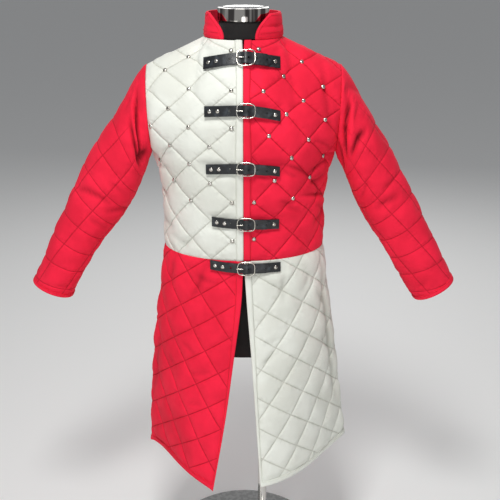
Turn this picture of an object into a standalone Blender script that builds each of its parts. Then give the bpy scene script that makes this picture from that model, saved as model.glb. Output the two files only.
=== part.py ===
"""Quilted gambeson on a dress form, modelled at its real size.

Metres, +Z up. The coat's front faces -Y and the wearer's left is +X, so the wearer's right is on a
viewer's left. The origin is the middle of the stand's underside, on the floor.
"""

import math
from collections import namedtuple
from dataclasses import dataclass

import bmesh
import bpy
from mathutils import Matrix, Vector
from mathutils.geometry import delaunay_2d_cdt

# Driving sizes of the coat
WAIST_Z = 0.948
NECK_Z = 1.480
NECK_HALF_WIDTH = 0.096
NECK_FRONT = 0.086
NECK_BACK = 0.080
NECK_SHARE = 0.46
TOP_PULL_START = 0.5
TOP_PULL_POWER = 2.2
NECK_EDGE_OPEN = 0.0025
NECK_EDGE_START = 0.93
SHOULDER_X = 0.239
SHOULDER_Z = 1.412
UNDERARM_X = 0.231
UNDERARM_Z = 1.200
UNDERARM_SHARE = 0.52
ARMHOLE_FRONT = 0.075
ARMHOLE_BACK = 0.065
COLLAR_HEIGHT = 0.058
SEAM_GAP = 0.0003
WALL = 0.006
COLLAR_WALL = 0.005
STITCH_TO_RIM = 0.008

# Shaping of the hanging cloth; places and widths along a sleeve are shares of its length
FLUTE_DEPTH = 0.007
HEAD_SHARE = 0.10
FOLD_PLACE = 0.075
FOLD_WIDTH = 0.035
FOLD_DEPTH = 0.009

# Flat sizes that the quilting is measured on
BODICE_WIDTH = 0.290
BODICE_HEIGHT = 0.530
SKIRT_WIDTH = 0.300
SKIRT_HEIGHT = 0.640
SLEEVE_ROUND = 0.420
SLEEVE_LENGTH = 0.640

# Quilting
BODICE_DIAMOND_WIDTH = 0.104
BODICE_DIAMOND_HEIGHT = 0.0965
SKIRT_SQUARE = 0.070
SKIRT_TURN = math.radians(30)
SLEEVE_DIAMOND_WIDTH = 0.105
SLEEVE_DIAMOND_HEIGHT = 0.092
PUFF = 0.006

# Bindings and cuff bands
BINDING_WIDTH = 0.017
BINDING_LOW = 0.0005
BINDING_HIGH = 0.0027
STITCH_ROW = 0.019

# Closures
STRAP_WIDTH = 0.025
STRAP_LOW = 0.0034
STRAP_THICK = 0.0024
DROP_POWER = 1.7
BUCKLE_WIRE = 0.0016
BUCKLE_X = 0.0065
BUCKLE_HALF_WIDTH = 0.0215
BUCKLE_HALF_HEIGHT = 0.0164
BUCKLE_NEAR_POWER = 0.58
BUCKLE_FAR_POWER = 0.58
BUCKLE_SIDES = 6
BUCKLE_STEPS = 20
PRONG_RADIUS = 0.0013
RIVET_SIDES = 10
RIVET_RADIUS = 0.0052
RIVET_HEIGHT = 0.0026
RIVETS_FROM_END = (0.0125, 0.0315)

# Dress form and stand
FORM_GAP = 0.0006
FORM_SIDES = 32
NECK_RADIUS = 0.063
NECK_CAP_LOW = 1.519
NECK_CAP_TOP = 1.550
POLE_X = 0.052
POLE_RADIUS = 0.0125
BASE_RADIUS = 0.220
BASE_THICK = 0.006
BASE_BOSS = 0.003
BASE_EDGE = 0.002
BOSS_RADIUS = 0.080

WHITE = (0.80, 0.81, 0.74)
RED = (0.80, 0.016, 0.035)
BLACK_LEATHER = (0.014, 0.015, 0.017)
NICKEL = (0.62, 0.61, 0.58)
BLACK_JERSEY = (0.012, 0.011, 0.010)
CHROME = (0.72, 0.72, 0.72)

BodiceRow = namedtuple("BodiceRow", "share centre_y centre_z side_x side_z reach")
SkirtRow = namedtuple("SkirtRow", "share edge_x edge_y edge_z side_x side_z straight lift")
SleeveRow = namedtuple("SleeveRow", "share outer_x outer_z inner_x inner_z middle_y half_depth")
FormRow = namedtuple("FormRow", "z half_width half_depth middle_y pointed", defaults=(1.0,))
ClosureRow = namedtuple("ClosureRow", "height billet_end tip base_end billet_drop base_drop")

BODICE_FRONT = (
    BodiceRow(0.00, -0.150, WAIST_Z, 0.208, WAIST_Z, 90),
    BodiceRow(0.20, -0.152, 1.056, 0.206, 1.052, 90),
    BodiceRow(0.38, -0.159, 1.150, 0.212, 1.132, 89),
    BodiceRow(0.52, -0.163, 1.225, UNDERARM_X, UNDERARM_Z, 86),
    BodiceRow(0.75, -0.152, 1.345, 0.0, 0.0, 62),
    BodiceRow(0.90, -0.122, 1.430, 0.0, 0.0, 52),
    BodiceRow(1.00, -NECK_FRONT, NECK_Z, 0.0, 0.0, 48),
)
BODICE_BACK = (
    BodiceRow(0.00, 0.108, WAIST_Z, 0.208, WAIST_Z, 90),
    BodiceRow(0.20, 0.109, 1.056, 0.206, 1.052, 90),
    BodiceRow(0.38, 0.120, 1.150, 0.212, 1.132, 89),
    BodiceRow(0.52, 0.130, 1.225, UNDERARM_X, UNDERARM_Z, 86),
    BodiceRow(0.75, 0.132, 1.345, 0.0, 0.0, 64),
    BodiceRow(0.90, 0.110, 1.430, 0.0, 0.0, 54),
    BodiceRow(1.00, NECK_BACK, NECK_Z, 0.0, 0.0, 48),
)
RED_FRONT_SKIRT = (
    SkirtRow(0.00, 0.0006, -0.150, WAIST_Z, 0.208, WAIST_Z, 1.00, 0.0),
    SkirtRow(0.18, 0.0060, -0.160, 0.836, 0.220, 0.842, 1.06, 0.0),
    SkirtRow(0.40, 0.0250, -0.182, 0.690, 0.241, 0.700, 1.22, 0.002),
    SkirtRow(0.66, 0.0480, -0.207, 0.525, 0.257, 0.535, 1.44, 0.010),
    SkirtRow(1.00, 0.0830, -0.229, 0.322, 0.269, 0.336, 1.66, 0.022),
)
WHITE_FRONT_SKIRT = (
    SkirtRow(0.00, 0.0006, -0.150, WAIST_Z, 0.208, WAIST_Z, 1.00, 0.0),
    SkirtRow(0.18, 0.0078, -0.160, 0.836, 0.220, 0.842, 1.06, 0.0),
    SkirtRow(0.40, 0.0195, -0.182, 0.690, 0.242, 0.705, 1.20, 0.002),
    SkirtRow(0.66, 0.0310, -0.207, 0.525, 0.262, 0.543, 1.38, 0.002),
    SkirtRow(1.00, 0.0440, -0.229, 0.335, 0.287, 0.359, 1.54, 0.003),
)
RED_BACK_SKIRT = (
    SkirtRow(0.00, 0.0006, 0.108, WAIST_Z, 0.208, WAIST_Z, 1.00, 0.0),
    SkirtRow(0.18, 0.0060, 0.122, 0.836, 0.220, 0.842, 1.00, 0.0),
    SkirtRow(0.40, 0.0200, 0.146, 0.690, 0.241, 0.700, 1.04, 0.0),
    SkirtRow(0.66, 0.0400, 0.168, 0.525, 0.257, 0.535, 1.10, 0.0),
    SkirtRow(1.00, 0.0620, 0.188, 0.330, 0.269, 0.336, 1.18, 0.0),
)
WHITE_BACK_SKIRT = (
    SkirtRow(0.00, 0.0006, 0.108, WAIST_Z, 0.208, WAIST_Z, 1.00, 0.0),
    SkirtRow(0.18, 0.0060, 0.122, 0.836, 0.220, 0.842, 1.00, 0.0),
    SkirtRow(0.40, 0.0200, 0.146, 0.690, 0.242, 0.705, 1.04, 0.0),
    SkirtRow(0.66, 0.0400, 0.168, 0.525, 0.262, 0.543, 1.10, 0.0),
    SkirtRow(1.00, 0.0620, 0.188, 0.345, 0.287, 0.359, 1.18, 0.0),
)
RIGHT_SLEEVE = (
    SleeveRow(0.00, SHOULDER_X, SHOULDER_Z, UNDERARM_X, UNDERARM_Z, -0.005, 0.070),
    SleeveRow(0.08, 0.262, 1.383, 0.245, 1.168, -0.004, 0.074),
    SleeveRow(0.20, 0.320, 1.291, 0.262, 1.121, -0.002, 0.075),
    SleeveRow(0.34, 0.376, 1.213, 0.288, 1.068, 0.000, 0.071),
    SleeveRow(0.48, 0.417, 1.142, 0.325, 1.012, 0.000, 0.065),
    SleeveRow(0.62, 0.461, 1.052, 0.370, 0.958, -0.002, 0.060),
    SleeveRow(0.76, 0.504, 0.964, 0.412, 0.895, -0.004, 0.056),
    SleeveRow(0.90, 0.542, 0.880, 0.449, 0.830, -0.007, 0.053),
    SleeveRow(1.00, 0.564, 0.842, 0.464, 0.797, -0.008, 0.051),
)
LEFT_SLEEVE = (
    SleeveRow(0.00, SHOULDER_X, SHOULDER_Z, UNDERARM_X, UNDERARM_Z, -0.005, 0.070),
    SleeveRow(0.08, 0.260, 1.384, 0.246, 1.168, -0.004, 0.074),
    SleeveRow(0.20, 0.312, 1.296, 0.268, 1.121, -0.002, 0.075),
    SleeveRow(0.34, 0.359, 1.222, 0.290, 1.068, 0.000, 0.071),
    SleeveRow(0.48, 0.400, 1.150, 0.319, 1.012, 0.000, 0.065),
    SleeveRow(0.62, 0.445, 1.066, 0.356, 0.958, -0.002, 0.060),
    SleeveRow(0.76, 0.490, 0.978, 0.396, 0.895, -0.004, 0.056),
    SleeveRow(0.90, 0.534, 0.892, 0.434, 0.828, -0.007, 0.053),
    SleeveRow(1.00, 0.560, 0.845, 0.461, 0.789, -0.008, 0.051),
)
FORM = (
    FormRow(0.655, 0.148, 0.092, -0.012),
    FormRow(0.700, 0.156, 0.102, -0.014),
    FormRow(0.800, 0.158, 0.108, -0.016),
    FormRow(0.900, 0.140, 0.096, -0.018),
    FormRow(0.960, 0.132, 0.092, -0.018),
    FormRow(1.060, 0.146, 0.098, -0.018),
    FormRow(1.180, 0.172, 0.108, -0.016),
    FormRow(1.280, 0.180, 0.104, -0.010),
    FormRow(1.360, 0.181, 0.076, -0.004),
)
CLOSURES = (
    ClosureRow(1.441, 0.095, 0.0695, 0.088, 0.0165, 0.0135),
    ClosureRow(1.327, 0.092, 0.0695, 0.088, 0.005, 0.0145),
    ClosureRow(1.190, 0.090, 0.0695, 0.088, 0.005, 0.0105),
    ClosureRow(1.047, 0.078, 0.0695, 0.088, -0.004, 0.004),
    ClosureRow(0.930, 0.084, 0.0695, 0.093, -0.006, 0.001),
)


def blend_rows(rows, share):
    """A row of the table at this share, on a smooth curve through the rows."""
    last = len(rows) - 1
    low = next((k for k in range(last) if share <= rows[k + 1].share), last - 1)
    span = rows[low + 1].share - rows[low].share
    t = (share - rows[low].share) / span
    values = []
    for column in range(1, len(rows[0])):
        def slope(k):
            before, after = max(k - 1, 0), min(k + 1, last)
            rise = rows[after][column] - rows[before][column]
            return rise / (rows[after].share - rows[before].share) * span
        start, end = rows[low][column], rows[low + 1][column]
        values.append(
            (2 * t**3 - 3 * t**2 + 1) * start
            + (t**3 - 2 * t**2 + t) * slope(low)
            + (3 * t**2 - 2 * t**3) * end
            + (t**3 - t**2) * slope(low + 1)
        )
    return type(rows[0])(share, *values)


def armhole(angle, front):
    """A point of the armhole's plane loop: angle 0 is the shoulder tip and pi the underarm."""
    middle_z = (SHOULDER_Z + UNDERARM_Z) / 2
    radius = (SHOULDER_Z - UNDERARM_Z) / 2
    depth = -ARMHOLE_FRONT if front else ARMHOLE_BACK
    rise = math.cos(angle)
    x = (SHOULDER_X + UNDERARM_X) / 2 + (SHOULDER_X - UNDERARM_X) / 2 * rise
    return Vector((x, depth * math.sin(angle), middle_z + radius * rise))


def neck_and_shoulder(share, front):
    """The bodice's top edge: a quarter of the neck, then the straight shoulder seam."""
    if share <= NECK_SHARE:
        angle = share / NECK_SHARE * math.pi / 2
        depth = -NECK_FRONT if front else NECK_BACK
        return Vector((NECK_HALF_WIDTH * math.sin(angle), depth * math.cos(angle), NECK_Z))
    along = (share - NECK_SHARE) / (1 - NECK_SHARE)
    start = Vector((NECK_HALF_WIDTH, 0, NECK_Z))
    return start.lerp(Vector((SHOULDER_X, 0, SHOULDER_Z)), along)


@dataclass
class Bodice:
    """One quarter of the bodice on the +X side: u runs from the centre to the side, v from the waist up."""

    rows: tuple
    front: bool
    width: float = BODICE_WIDTH
    height: float = BODICE_HEIGHT

    def row_point(self, u, v):
        row = blend_rows(self.rows, v)
        if v > UNDERARM_SHARE:
            side = armhole(math.pi * (1 - v) / (1 - UNDERARM_SHARE), self.front)
        else:
            side_row = blend_rows(self.rows[:4], v)
            side = Vector((side_row.side_x, 0, side_row.side_z))
        end = math.radians(row.reach)
        x = side.x * math.sin(u * end) / math.sin(end)
        sink = (1 - math.cos(u * end)) / (1 - math.cos(end))
        y = row.centre_y + (side.y - row.centre_y) * sink
        z = row.centre_z + (side.z - row.centre_z) * u * u * (3 - 2 * u)
        return Vector((x, y, z))

    def point(self, u, v):
        pull = max(0.0, (v - TOP_PULL_START) / (1 - TOP_PULL_START)) ** TOP_PULL_POWER
        top = neck_and_shoulder(u, self.front) - self.row_point(u, 1.0)
        point = self.row_point(u, v) + top * pull
        if self.front:
            parted = max(0.0, (v - NECK_EDGE_START) / (1 - NECK_EDGE_START))
            point.x += NECK_EDGE_OPEN * parted * (1 - u) ** 4
        return point

    def rim_direction(self, u, v):
        """Which way the wall's thickness goes at a panel's edge, the same for both panels of a seam."""
        point = self.point(u, v)
        if v > 0.999 and u <= NECK_SHARE + 0.001:
            return Vector((point.x, point.y, 0)).normalized()
        if u > 0.999 and v > UNDERARM_SHARE - 0.001:
            return armhole_direction(math.pi * (1 - v) / (1 - UNDERARM_SHARE), self.front)
        if v > 0.999:
            return Vector((0, 0, 1))
        if u > 0.999:
            return Vector((1, 0, 0))
        if u < 0.001:
            slope = self.point(0, min(v + 0.01, 1)) - self.point(0, max(v - 0.01, 0))
            across = Vector((0, slope.z, -slope.y)).normalized()
            return -across if self.front else across
        return waist_direction(point, self.front)


def armhole_direction(angle, front):
    """Outward in the plane of the armhole."""
    step = 0.01
    along = armhole(angle + step, front) - armhole(angle - step, front)
    away = along.cross(Vector((1, 0, 0))).normalized()
    middle = Vector((0, 0, (SHOULDER_Z + UNDERARM_Z) / 2))
    point = armhole(angle, front)
    centred = Vector((0, point.y, point.z)) - middle
    away = away if away.dot(centred) > 0 else -away
    tilt = (SHOULDER_X - UNDERARM_X) / (SHOULDER_Z - UNDERARM_Z)
    return Vector((away.z * tilt, away.y, away.z)).normalized()


def waist_direction(point, front):
    """Level and square to the waist's ellipse."""
    depth = BODICE_FRONT[0].centre_y if front else BODICE_BACK[0].centre_y
    width = BODICE_FRONT[0].side_x
    return Vector((point.x / width**2, point.y / depth**2, 0)).normalized()


@dataclass
class Skirt:
    """One skirt panel on the +X side: u runs from the open edge to the side seam, v from the waist down."""

    rows: tuple
    front: bool
    width: float = SKIRT_WIDTH
    height: float = SKIRT_HEIGHT

    def point(self, u, v):
        row = blend_rows(self.rows, v)
        angle = u * math.pi / 2
        x = row.edge_x + (row.side_x - row.edge_x) * math.sin(angle) ** row.straight
        y = row.edge_y * max(0.0, math.cos(angle)) ** row.straight
        z = row.edge_z + (row.side_z - row.edge_z) * u * u * (3 - 2 * u)
        z += row.lift * math.sin(math.pi * u)
        flute = FLUTE_DEPTH * v**1.5 * math.sin(2 * math.pi * u) * math.sin(math.pi * u)
        return Vector((x + flute * math.sin(angle), y - flute * math.copysign(1, -y), z))

    def rim_direction(self, u, v):
        if u > 0.999:
            return Vector((1, 0, 0))
        if v < 0.001:
            return waist_direction(self.point(u, 0), self.front)
        return None


@dataclass
class Sleeve:
    """One sleeve on the +X side: u runs once round from the underarm, front side first, v down to the cuff."""

    rows: tuple
    width: float = SLEEVE_ROUND
    height: float = SLEEVE_LENGTH

    def point(self, u, v):
        angle = math.pi - 2 * math.pi * u
        front = u <= 0.5
        at_seam = armhole(abs(angle), front) + Vector((SEAM_GAP, 0, 0))
        row = blend_rows(self.rows, v)
        outer = Vector((row.outer_x, row.middle_y, row.outer_z))
        inner = Vector((row.inner_x, row.middle_y, row.inner_z))
        middle, half = (outer + inner) / 2, (outer - inner) / 2
        depth = -row.half_depth if front else row.half_depth
        ring = middle + half * math.cos(angle)
        ring.y += depth * abs(math.sin(angle)) ** 0.92
        join = max(0.0, 1 - v / HEAD_SHARE) ** 2
        fold = math.exp(-(((v - FOLD_PLACE) / FOLD_WIDTH) ** 2))
        fold *= max(0.0, math.sin(abs(angle))) ** 2
        ring.y -= math.copysign(FOLD_DEPTH * fold, depth)
        return at_seam * join + ring * (1 - join)

    def rim_direction(self, u, v):
        if v < 0.001:
            return armhole_direction(abs(math.pi - 2 * math.pi * u), u <= 0.5)
        return None


@dataclass
class Collar:
    """The stand collar: u runs from the wearer's right end round the back to the left end, v upwards."""

    width: float = 0.49
    height: float = COLLAR_HEIGHT

    def point(self, u, v):
        right = math.radians(30 + 37 * v**2.2)
        left = math.radians(17.6 + 29 * v**2.2)
        angle = -right - u * (2 * math.pi - right - left)
        lean = v * 0.006
        depth = (NECK_FRONT if math.cos(angle) > 0 else NECK_BACK) - 1.3 * lean
        x = (NECK_HALF_WIDTH - lean) * math.sin(angle)
        y = -depth * math.cos(angle)
        return Vector((x, y, NECK_Z + SEAM_GAP + self.height * v))

    def rim_direction(self, u, v):
        point = self.point(u, v)
        return Vector((point.x, point.y, 0)).normalized()


def surface_normal(panel, u, v):
    """The outward normal of a panel, by small steps on it."""
    step = 0.004
    if isinstance(panel, Sleeve):
        across = panel.point((u + step) % 1, v) - panel.point((u - step) % 1, v)
    else:
        across = panel.point(min(u + step, 1), v) - panel.point(max(u - step, 0), v)
    along = panel.point(u, min(v + step, 1)) - panel.point(u, max(v - step, 0))
    normal = across.cross(along).normalized()
    point = panel.point(u, v)
    return normal if normal.dot(point - heart_of(panel, point, v)) > 0 else -normal


def heart_of(panel, point, v):
    """A point well inside the panel's form, which its outer face looks away from."""
    if isinstance(panel, Sleeve):
        row = blend_rows(panel.rows, v)
        return Vector(
            ((row.outer_x + row.inner_x) / 2, row.middle_y, (row.outer_z + row.inner_z) / 2)
        )
    if isinstance(panel, Bodice):
        return Vector((0, 0, min(point.z, 1.25)))
    return Vector((0, 0, point.z))


@dataclass
class Quilt:
    """Stitch lines along two cell sides, from one crossing, with a puffed middle in each cell."""

    origin: tuple
    side_a: tuple
    side_b: tuple
    quarters: bool = True
    puff: float = PUFF

    def place(self, i, j):
        return (
            self.origin[0] + i * self.side_a[0] + j * self.side_b[0],
            self.origin[1] + i * self.side_a[1] + j * self.side_b[1],
        )

    def cell_points(self):
        """Each point of a cell as its share along both sides, and its share of the puff."""
        points = [(0.0, 0.0, 0.0), (0.5, 0.0, 0.0), (0.0, 0.5, 0.0), (0.5, 0.5, 1.0)]
        if self.quarters:
            points += [(a, b, 0.75) for a in (0.25, 0.75) for b in (0.25, 0.75)]
        return points


def diamonds(width, height, origin, quarters=True):
    half = (width / 2, height / 2)
    return Quilt(origin, half, (half[0], -half[1]), quarters)


def turned_squares(side, turn, origin):
    return Quilt(
        origin,
        (side * math.cos(turn), side * math.sin(turn)),
        (-side * math.sin(turn), side * math.cos(turn)),
    )


def shares(count, extra=()):
    """Even steps from 0 to 1 with some more places, none of them crowded."""
    places = [k / count for k in range(count + 1)]
    kept = [p for p in places if p in (0, 1) or all(abs(p - e) > 0.45 / count for e in extra)]
    return sorted(kept + list(extra))


def padded_wall(panel, quilt, us, vs, stitch_u=None, stitch_v=None, closed=False, pressed=()):
    """A quilted wall as a mesh: its outer face follows the stitch lines, its inner face is plain.

    stitch_u and stitch_v are shares where the flat strip under a binding ends. pressed holds
    rectangles (low s, high s, low t, high t) in metres where a strap presses the quilting flat.
    """
    width, height = panel.width, panel.height
    loop = [(u, 0.0) for u in us]
    loop += [(1.0, v) for v in vs[1:]]
    loop += [(u, 1.0) for u in reversed(us[:-1])]
    loop += [(0.0, v) for v in reversed(vs[1:-1])]
    rim_count = len(loop)
    flat = [(u * width, v * height, 0.0) for u, v in loop]
    pairs = []

    known = {place: k for k, place in enumerate(loop)}

    def add_line(places):
        for place in places:
            if place not in known:
                known[place] = len(flat)
                flat.append((place[0] * width, place[1] * height, 0.0))
        pairs.extend((known[a], known[b]) for a, b in zip(places, places[1:]))

    low_s, high_t = 0.0, height
    if stitch_u:
        low_s = stitch_u * width
        add_line([(stitch_u, v) for v in vs if v <= (stitch_v or 1)])
    if stitch_v:
        high_t = stitch_v * height
        add_line([(u, stitch_v) for u in us if u >= (stitch_u or 0)])

    inside = STITCH_TO_RIM
    index = {}
    for i in range(-24, 25):
        for j in range(-24, 25):
            for a, b, puff in quilt.cell_points():
                s, t = quilt.place(i + a, j + b)
                if not (low_s + inside < s < width - inside and inside < t < high_t - inside):
                    continue
                down = any(p[0] < s < p[1] and p[2] < t < p[3] for p in pressed)
                index[(i + a, j + b)] = len(flat)
                flat.append((s, t, 0.0 if down else puff * quilt.puff))
    for (i, j), k in index.items():
        if i == int(i) and (i, j + 0.5) in index:
            pairs.append((k, index[(i, j + 0.5)]))
        if j == int(j) and (i + 0.5, j) in index:
            pairs.append((k, index[(i + 0.5, j)]))

    outline = list(range(rim_count))
    outer = triangulate(flat, pairs, outline)
    inner_flat = flat[:rim_count]
    inner_flat += [(u * width, v * height, 0.0) for u in us[1:-1] for v in vs[2:-1:2]]
    inner = triangulate(inner_flat, [], outline)

    mesh = bmesh.new()
    outer_points, inner_points = [], []
    for k, (s, t, puff) in enumerate(flat):
        u, v = min(max(s / width, 0), 1), min(max(t / height, 0), 1)
        point = panel.point(u, v)
        if puff:
            point = point + surface_normal(panel, u, v) * puff
        outer_points.append(mesh.verts.new(point))
    for k, (s, t, _) in enumerate(inner_flat):
        u, v = min(max(s / width, 0), 1), min(max(t / height, 0), 1)
        direction = panel.rim_direction(u, v) if k < rim_count else None
        direction = direction or surface_normal(panel, u, v)
        thick = COLLAR_WALL if isinstance(panel, Collar) else WALL
        inner_points.append(mesh.verts.new(panel.point(u, v) - direction * thick))
    for a, b, c in outer:
        mesh.faces.new((outer_points[a], outer_points[b], outer_points[c]))
    for a, b, c in inner:
        mesh.faces.new((inner_points[c], inner_points[b], inner_points[a]))
    for k in range(rim_count):
        after = (k + 1) % rim_count
        on_join = closed and loop[k][0] == loop[after][0] and loop[k][0] in (0.0, 1.0)
        if not on_join:
            corners = (outer_points[k], inner_points[k], inner_points[after], outer_points[after])
            mesh.faces.new(corners)
    if closed:
        bmesh.ops.remove_doubles(mesh, verts=mesh.verts, dist=1e-5)
    bmesh.ops.recalc_face_normals(mesh, faces=mesh.faces)
    return mesh


def triangulate(flat, pairs, outline):
    """Triangles on these flat points that keep the stitch lines as edges, inside the outline."""
    found = delaunay_2d_cdt([Vector(p[:2]) for p in flat], pairs, [outline], 1, 1e-7, True)
    came_from = [ids[0] for ids in found[3]]
    return [tuple(came_from[k] for k in face) for face in found[2]]


def cells_wall(outer, inner, us, vs, chosen=None, closed=False):
    """A wall over a grid of cells between two faces given as functions of (u, v)."""
    mesh = bmesh.new()
    columns, rows = len(us) - 1, len(vs) - 1
    cells = {(i, j) for i in range(columns) for j in range(rows) if chosen is None or chosen(i, j)}
    made = {}

    def vert(i, j, face):
        i = i % columns if closed else i
        if (i, j, face) not in made:
            made[(i, j, face)] = mesh.verts.new((outer, inner)[face](us[i], vs[j]))
        return made[(i, j, face)]

    for i, j in cells:
        corners = ((i, j), (i + 1, j), (i + 1, j + 1), (i, j + 1))
        mesh.faces.new([vert(a, b, 0) for a, b in corners])
        mesh.faces.new([vert(a, b, 1) for a, b in reversed(corners)])
        sides = (((i, j - 1), 0, 1), ((i + 1, j), 1, 2), ((i, j + 1), 2, 3), ((i - 1, j), 3, 0))
        for (ni, nj), a, b in sides:
            beside = (ni % columns, nj) if closed else (ni, nj)
            if beside not in cells:
                start, end = corners[a], corners[b]
                mesh.faces.new(
                    [vert(*start, 0), vert(*start, 1), vert(*end, 1), vert(*end, 0)]
                )
    bmesh.ops.recalc_face_normals(mesh, faces=mesh.faces)
    return mesh


def material(name, colour, roughness, metallic=0.0):
    found = bpy.data.materials.new(name)
    found.use_nodes = True
    shader = found.node_tree.nodes["Principled BSDF"]
    shader.inputs["Base Color"].default_value = (*colour, 1.0)
    shader.inputs["Roughness"].default_value = roughness
    shader.inputs["Metallic"].default_value = metallic
    found.diffuse_color = (*colour, 1.0)
    return found


def add_object(name, mesh, finish, mirrored=False, smooth=True):
    """Turns a bmesh into a named object; a mirrored one goes to the -X side."""
    if mirrored:
        bmesh.ops.scale(mesh, vec=(-1, 1, 1), verts=mesh.verts)
        bmesh.ops.reverse_faces(mesh, faces=mesh.faces)
    data = bpy.data.meshes.new(name)
    mesh.to_mesh(data)
    mesh.free()
    if smooth:
        data.shade_smooth()
        data.set_sharp_from_angle(angle=math.radians(50))
    data.materials.append(finish)
    made = bpy.data.objects.new(name, data)
    bpy.context.scene.collection.objects.link(made)
    return made


def raised(panel, lift):
    """The panel's face moved out along its normals."""
    def place(u, v):
        return panel.point(u, v) + surface_normal(panel, u, v) * lift
    return place


BODICE_US = shares(8)
BODICE_VS = [UNDERARM_SHARE * k / 7 for k in range(8)]
BODICE_VS += [UNDERARM_SHARE + (1 - UNDERARM_SHARE) * k / 7 for k in range(1, 8)]
SKIRT_US = shares(8)
SKIRT_VS = shares(14, (1 - STITCH_ROW / SKIRT_HEIGHT,))
SLEEVE_US = [k / 14 for k in range(15)]
SLEEVE_VS = shares(14, (1 - STITCH_ROW / SLEEVE_LENGTH,))


def centre_share(panel_rows, height):
    """The share at which the centre edge has this height."""
    low, high = 0.0, 1.0
    rising = panel_rows[-1].centre_z > panel_rows[0].centre_z
    for _ in range(40):
        middle = (low + high) / 2
        if (blend_rows(panel_rows, middle).centre_z < height) == rising:
            low = middle
        else:
            high = middle
    return (low + high) / 2


def make_bodice(finishes):
    """The four bodice panels and the binding of each front edge."""
    margin = 0.022
    strips = []
    for closure in CLOSURES[:4]:
        middle = centre_share(BODICE_FRONT, closure.height) * BODICE_HEIGHT
        reach = STRAP_WIDTH / 2 + margin
        drop = max(closure.billet_drop, closure.base_drop)
        strips.append((0.0, closure.billet_end + margin, middle - reach - drop, middle + reach))
    stitch = STITCH_ROW / BODICE_WIDTH
    quilts = {
        "right": diamonds(BODICE_DIAMOND_WIDTH, BODICE_DIAMOND_HEIGHT, (0.030, 0.010)),
        "left": diamonds(BODICE_DIAMOND_WIDTH, BODICE_DIAMOND_HEIGHT, (0.036, 0.034)),
    }
    for side, quilt in quilts.items():
        mirrored = side == "right"
        front, back = Bodice(BODICE_FRONT, True), Bodice(BODICE_BACK, False)
        cloth = finishes["white_cloth"] if mirrored else finishes["red_cloth"]
        us = shares(8, (stitch,))
        mesh = padded_wall(front, quilt, us, BODICE_VS, stitch_u=stitch, pressed=strips)
        part_seams(mesh, True)
        add_object(f"bodice_front_{side}", mesh, cloth, mirrored)
        mesh = padded_wall(back, quilt, BODICE_US, BODICE_VS)
        part_seams(mesh, False)
        add_object(f"bodice_back_{side}", mesh, cloth, mirrored)
        band = BINDING_WIDTH / BODICE_WIDTH
        mesh = cells_wall(
            raised(front, BINDING_HIGH), raised(front, BINDING_LOW), [0.0, band], BODICE_VS
        )
        part_seams(mesh, True)
        add_object(f"front_binding_{side}", mesh, cloth, mirrored)


def part_seams(mesh, front):
    """Draws a trunk panel back from the side and shoulder seams and the centre by half a seam gap."""
    way = -1 if front else 1
    for vert in mesh.verts:
        if vert.co.y * way < SEAM_GAP / 2:
            vert.co.y = way * SEAM_GAP / 2
        if vert.co.x < SEAM_GAP:
            vert.co.x = SEAM_GAP
        if WAIST_Z - SEAM_GAP < vert.co.z < WAIST_Z + SEAM_GAP / 2:
            vert.co.z = WAIST_Z + SEAM_GAP / 2


def make_skirts(finishes):
    """The four skirt panels and their edge-and-hem bindings."""
    panels = (
        ("front_right", RED_FRONT_SKIRT, True, "red_cloth"),
        ("front_left", WHITE_FRONT_SKIRT, True, "white_cloth"),
        ("back_right", RED_BACK_SKIRT, False, "red_cloth"),
        ("back_left", WHITE_BACK_SKIRT, False, "white_cloth"),
    )
    stitch_u, stitch_v = STITCH_ROW / SKIRT_WIDTH, 1 - STITCH_ROW / SKIRT_HEIGHT
    band_u, band_v = BINDING_WIDTH / SKIRT_WIDTH, 1 - BINDING_WIDTH / SKIRT_HEIGHT
    for name, rows, front, cloth in panels:
        panel = Skirt(rows, front)
        quilt = turned_squares(SKIRT_SQUARE, SKIRT_TURN, (0.020, 0.015))
        us = shares(8, (stitch_u,))
        pressed = ((0.0, CLOSURES[4].billet_end + 0.02, 0.0, 0.06),) if front else ()
        mesh = padded_wall(
            panel, quilt, us, SKIRT_VS, stitch_u=stitch_u, stitch_v=stitch_v, pressed=pressed
        )
        hang_seams(mesh, front)
        mirrored = name.endswith("right")
        add_object(f"skirt_{name}", mesh, finishes[cloth], mirrored)
        last_u, last_v = 0, len(SKIRT_VS) - 2
        band_us = [0.0, band_u] + us[2:]
        band_vs = SKIRT_VS[:-2] + [band_v, 1.0]
        mesh = cells_wall(
            raised(panel, BINDING_HIGH),
            raised(panel, BINDING_LOW),
            band_us,
            band_vs,
            lambda i, j, a=last_u, b=last_v: i == a or j == b,
        )
        hang_seams(mesh, front)
        add_object(f"skirt_binding_{name}", mesh, finishes[cloth], mirrored)


def hang_seams(mesh, front):
    """Draws a skirt panel back from the waist and side seams by half a seam gap."""
    way = -1 if front else 1
    for vert in mesh.verts:
        if vert.co.y * way < SEAM_GAP / 2:
            vert.co.y = way * SEAM_GAP / 2
        if vert.co.z > WAIST_Z - SEAM_GAP / 2:
            vert.co.z = WAIST_Z - SEAM_GAP / 2
        if vert.co.x < SEAM_GAP:
            vert.co.x = SEAM_GAP


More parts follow.
